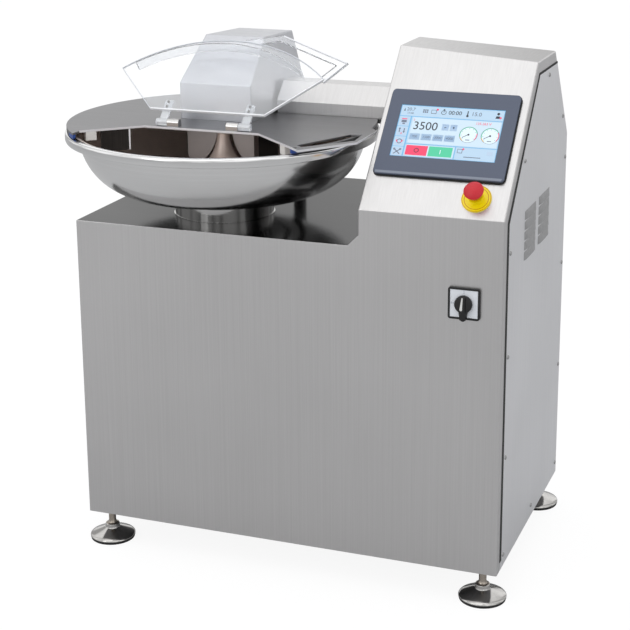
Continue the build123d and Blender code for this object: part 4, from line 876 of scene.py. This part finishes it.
# Louvres darker than the panel round them: painted shade of the pressed openings
louvreSteel = steel("louvre_sheet", (0.36, 0.36, 0.365), (0.46, 0.46, 0.465), 0.5, (140, 140, 140), 0.3)
louvrePoints = [(side["face"] + 0.0001, y, z + (row - (louvre["rows"] - 1) / 2) * louvre["pitch"])
                for y, z in louvre["columns"] for row in range(louvre["rows"])]
scatter("sideLouvres", louvreShape(louvre), louvrePoints, louvreSteel, "cabinet", sharp=50)

screw = {"radius": 0.0047, "height": 0.0024, "socket": 0.0022,
         "places": ((-0.1595, 0.096), (-0.1595, 0.3105), (-0.1595, 0.525), (-0.1595, 0.7395), (0.3365, 0.098),
                    (0.3365, 0.342), (0.3365, 0.586), (0.3365, 0.830), (0.0905, 0.097), (-0.0545, 0.902),
                    (0.1485, 1.043), (0.2975, 0.929))}
screwPoints = [(side["face"], y, z) for y, z in screw["places"]]
sideScrews = scatter("sideScrews", screwShape(screw, Vector((0, 1, 0)), Vector((1, 0, 0))), screwPoints,
                     finish["screw_steel"], "cabinet")
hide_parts("side_panel_screws")
print("side made")

# Main switch: low round knob with a tab, white pointer and plate marks
knob = {"x": 0.4155, "z": 0.6445, "front": -0.2095, "radius": 0.0178, "tabHalf": 0.0066, "tabEnd": 0.0345,
        "low": 0.0063, "mid": 0.0145, "high": 0.0185}


def onFront(x, z, out):
    return (knob["x"] + x, knob["front"] - out, knob["z"] + z)


# Round cap with a tab below it, both drawn in from the knob's own size.
def knobOutline(capIn, tabIn):
    radius, half, end = knob["radius"] - capIn, knob["tabHalf"] - tabIn, knob["tabEnd"] - tabIn
    gap = atan2(half * 1.55, radius)
    return arc((0, 0), radius, -pi / 2 + gap, 1.5 * pi - gap, 40) + arc((0, half - end), half, pi, 2 * pi, 10)


knobSteps = ((0, 0, knob["low"]), (0, 0, knob["mid"] - 0.002), (0.0008, 0.0006, knob["mid"] - 0.0006),
             (0.0025, 0.002, knob["mid"]))
knobLayers = [(knobOutline(capIn, tabIn), out) for capIn, tabIn, out in knobSteps]
knobPiece = stackPiece("switchKnob", knobLayers, finish["black_plastic"], "main_switch_knob",
                       onFront)
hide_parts("switch_knob")


def ridgeOutline(half, top, low):
    return [(half, top), (-half, top), (-half * 1.15, low), (half * 1.15, low)]


stackPiece("switchRidge", [(ridgeOutline(0.0058, 0.0155, -0.031), knob["mid"] - 0.0002),
                           (ridgeOutline(0.0048, 0.0145, -0.030), knob["high"] - 0.0008),
                           (ridgeOutline(0.0036, 0.013, -0.028), knob["high"])],
           finish["black_plastic"], "main_switch_knob", onFront)
pointer = {"radius": 0.0026, "x": -0.0024, "z": -0.0085,
           "tip": ((0.0010, 0.0150), (-0.0004, 0.0158), (-0.0014, 0.0148))}
pointerOutline = arc((pointer["x"], pointer["z"]), pointer["radius"], pi, 2 * pi, 12) + list(pointer["tip"])
stackPiece("switchPointer", [(pointerOutline, knob["high"] - 0.0004), (pointerOutline, knob["high"] + 0.0005)],
           finish["white_plastic"], "main_switch_knob", onFront)


# Switch plate marks: ticks and the two digits
marks = {"out": 0.0054, "height": 0.0055, "digits": (("1", 0.0, 0.0250), ("0", -0.0250, 0.0)),
         "ticks": ((-0.0004, 0.0205, 0.0004, 0.0225), (-0.0225, -0.0004, -0.0205, 0.0004))}


def frontMarks(p):
    verts, faces = [], []
    for x0, z0, x1, z1 in p["ticks"]:
        tick = ((x0, z0), (x1, z0), (x1, z1), (x0, z1))
        gather(verts, faces, [onFront(x, z, p["out"]) for x, z in tick], [range(4)])
    for words, x, z in p["digits"]:
        points, wordFaces = textMesh(words, p["height"])
        gather(verts, faces, [onFront(x + q.x, z + q.y, p["out"]) for q in points], wordFaces)
    return verts, faces


verts, faces = frontMarks(marks)
flatPiece("switchMarks", verts, faces, ink["grey"], "cabinet")
print("switch made")

# Panel surround: black gasket under the bezel and a paler chin along its foot
surround = {"width": 0.267, "height": 0.200, "u": 0.3415, "v": 0.1825, "corner": 0.010, "spread": 0.0022,
            "thick": 0.0035, "chin": 0.0055, "face": 0.0081}


def roundedBox(width, height, corner):
    points = []
    for cx, cy, start in ((1, 1, 0), (-1, 1, pi / 2), (-1, -1, pi), (1, -1, 1.5 * pi)):
        centre = (cx * (width / 2 - corner), cy * (height / 2 - corner))
        points += arc(centre, corner, start, start + pi / 2, 6)
    return points


def onPanel(x, y, out):
    return onSlope(surround["u"] + x, surround["v"] + y, out)


grown = 2 * surround["spread"]
gasketOutline = roundedBox(surround["width"] + grown, surround["height"] + grown,
                           surround["corner"] + surround["spread"])
stackPiece("panelGasket", [(gasketOutline, 0.0001), (gasketOutline, surround["thick"])], finish["black_rubber"],
           "cabinet", onPanel)
chinMat = moulding("chin_plastic", (0.20, 0.23, 0.29), (0.24, 0.27, 0.33), 0.35, 1500, 0.05)
chinHalf = surround["width"] / 2 - 0.004
chinLow = -surround["height"] / 2 + 0.0012
chinHigh = chinLow + surround["chin"]
chinOutline = [(chinHalf, chinHigh), (-chinHalf, chinHigh), (-chinHalf + 0.001, chinLow),
               (chinHalf - 0.001, chinLow)]
chinLayers = [(chinOutline, surround["face"] - 0.0004), (chinOutline, surround["face"] + 0.0002)]
stackPiece("panelChin", chinLayers, chinMat, "cabinet", onPanel)

# Printed line on the stop ring, and a painted highlight on the end of the left baffle
stop = {"u": 0.4275, "v": 0.045, "line": 0.0235, "lineWidth": 0.0012, "rim": 0.0292, "rimWidth": 0.001,
        "face": 0.0021}


def ringMark(name, inner, outer, mat, steps=64):
    verts, faces = [], []
    for k in range(steps):
        a = 2 * pi * k / steps
        for radius in (inner, outer):
            verts.append(onSlope(stop["u"] + radius * cos(a), stop["v"] + radius * sin(a), stop["face"]))
    for k in range(steps):
        a, b = 2 * k, 2 * ((k + 1) % steps)
        faces.append((a, a + 1, b + 1, b))
    flatPiece(name, verts, faces, mat, "cabinet")


printedAmber = moulding("printed_amber", (0.55, 0.20, 0.0), (0.62, 0.26, 0.0), 0.4, 1800, 0.05)
ringMark("stopRingLine", stop["line"], stop["line"] + stop["lineWidth"], printedAmber)
ringMark("stopRingRim", stop["rim"] - stop["rimWidth"], stop["rim"], printedAmber)

leftBaffle = [v.co for v in nodes["side_baffles"].data.vertices if v.co.x < bowlCentre[0]]
baffleEnd = max(leftBaffle, key=lambda c: c.x).copy()
baffle = {"low": 0.8925, "high": 0.9355, "width": 0.0025, "thick": 0.0022}
nearX, farX, nearY = baffleEnd.x, baffleEnd.x + baffle["width"], baffleEnd.y - baffle["thick"]
baffleOutline = [(nearX, nearY), (farX, nearY), (farX, baffleEnd.y), (nearX, baffleEnd.y)]
stackPiece("baffleEnd", [(baffleOutline, baffle["low"]), (baffleOutline, baffle["high"])], edgeHighlightPaint, "cover",
           asIs)
print("panel, stop ring and baffle dressed")

# Splash lid edges: pale bands along the sheet's foot, sides and arc, painted highlights for the clear sheet's
# bright edges
lid = {"hinge": (-0.1715, -0.1325, 0.948), "tilt": radians(41.5), "back": 0.002, "thick": 0.005, "edge": 0.028,
       "half": 0.130, "corner": 0.2326, "reach": 0.1317, "arc": 0.342, "strap": 0.093}
lidArcCentre = lid["reach"] - sqrt(lid["arc"] ** 2 - lid["corner"] ** 2)


def onLid(x, y, out):
    return (lid["hinge"][0] + x, lid["hinge"][1] + y * cos(lid["tilt"]) - out * sin(lid["tilt"]),
            lid["hinge"][2] + y * sin(lid["tilt"]) + out * cos(lid["tilt"]))


palePaintedHighlight = moulding("pale_painted_highlight", (0.66, 0.69, 0.73), (0.74, 0.77, 0.81), 0.3, 300, 0.05, 0.3)
spread = atan2(lid["corner"], lid["reach"] - lidArcCentre)
lidEdges = {  # path, depth into the sheet, finish, side of the path
    "lidFootEdge": ([(-lid["half"], lid["edge"]), (lid["half"], lid["edge"])], 0.0028, edgeHighlightPaint, 1),
    "lidRightEdge": ([(lid["half"], lid["edge"]), (lid["corner"], lid["reach"])], 0.0024, edgeHighlightPaint, 1),
    "lidLeftEdge": ([(-lid["half"], lid["edge"]), (-lid["corner"], lid["reach"])], 0.0012, palePaintedHighlight, -1),
    "lidArcEdge": (arc((0, lidArcCentre), lid["arc"], pi / 2 - spread, pi / 2 + spread, 48), 0.0011,
                   palePaintedHighlight, 1),
    "lidBowEdge": ([(0.1118, 0.2430), (0.2722, 0.1781), (0.2340, 0.1235)], 0.0022, edgeHighlightPaint, -1),
}
for name, (path, depth, mat, turn) in lidEdges.items():
    levels = {"low": 0.0018, "high": 0.0072, "proud": 0.0003, "depth": depth}
    edgeBar(name, path, onLid, levels, mat, "splash_lid", turn)

lidScrew = {"radius": 0.0032, "height": 0.0018, "socket": 0.0013, "reaches": (0.036, 0.048)}
outOfLid = Vector((0, -sin(lid["tilt"]), cos(lid["tilt"])))
lidScrewPoints = [onLid(hand * lid["strap"], reach, lid["back"] + lid["thick"]) for hand in (-1, 1)
                  for reach in lidScrew["reaches"]]
scatter("lidScrews", screwShape(lidScrew, Vector((1, 0, 0)), outOfLid, 12), lidScrewPoints,
        finish["screw_steel"], "splash_lid")
print("lid edges made")

# Stage
stage = {"size": 14, "grey": 0.56, "white": 1.16, "share": 0.78, "sky": (0.88, 0.885, 0.9)}


# The floor shows white to the lens and through the clear lid, keeps the shadow, and is pale grey to metal.
def addFloor(p):
    mat, tree, shader = newTree("floor")
    size = p["size"]
    corners = [(-size, -size, 0), (size, -size, 0), (size, size, 0), (-size, size, 0)]
    feedAll(tree, shader, {"Base Color": (p["grey"],) * 3, "Roughness": 0.8, "Specular IOR Level": 0})
    white = feedAll(tree, addNode(tree, "ShaderNodeEmission"), {"Strength": p["white"]})
    seen = seenByLens(tree, addNode(tree, "ShaderNodeLightPath"))
    blendShaders(tree, calc(tree, "MULTIPLY", seen, p["share"]), shader.outputs[0], white.outputs[0])
    floor = addObject("floor", newMesh("floor", corners, [(0, 1, 2, 3)], [mat]))


# White to the lens and through the lid, soft light and dark bands to metal, an even sky to what is matt.
def addWorld(p):
    world = bpy.data.worlds.new("studio")
    scene.world = world
    world.use_nodes = True
    tree = world.node_tree
    path = addNode(tree, "ShaderNodeLightPath")
    parts = split(tree, addNode(tree, "ShaderNodeTexCoord").outputs["Generated"])
    around = calc(tree, "ARCTAN2", parts["Y"], parts["X"])
    walls = feedAll(tree, addNode(tree, "ShaderNodeCombineXYZ"), {
        "X": calc(tree, "MULTIPLY", around, 2.6), "Y": calc(tree, "MULTIPLY", parts["Z"], 0.7)})
    bandLight = mapRange(tree, noise(tree, walls.outputs[0], 1, 1), 0.5, 1.2, 0.4, 0.56)
    shown = mixColor(tree, path.outputs["Is Glossy Ray"], p["sky"], bandLight)
    feedAll(tree, tree.nodes["Background"], {
        "Color": mixColor(tree, seenByLens(tree, path), shown, (1.0, 1.0, 1.0)), "Strength": 1})


def addLamp(name, place, aim, size, power):
    data = bpy.data.lights.new(name, "AREA")
    data.shape = "RECTANGLE"
    data.size, data.size_y = size
    data.energy = power
    lamp = addObject(name, data)
    lamp.location = place
    lamp.rotation_euler = (Vector(aim) - Vector(place)).to_track_quat("-Z", "Y").to_euler()


addFloor(stage)
addWorld(stage)
addLamp("overhead", (-0.3, -0.9, 3.4), (0, 0, 0.8), (3.2, 2.6), 13)
addLamp("left", (-1.5, -3.0, 1.9), (-0.17, 0.0, 0.9), (1.0, 1.6), 9)
print("stage set")
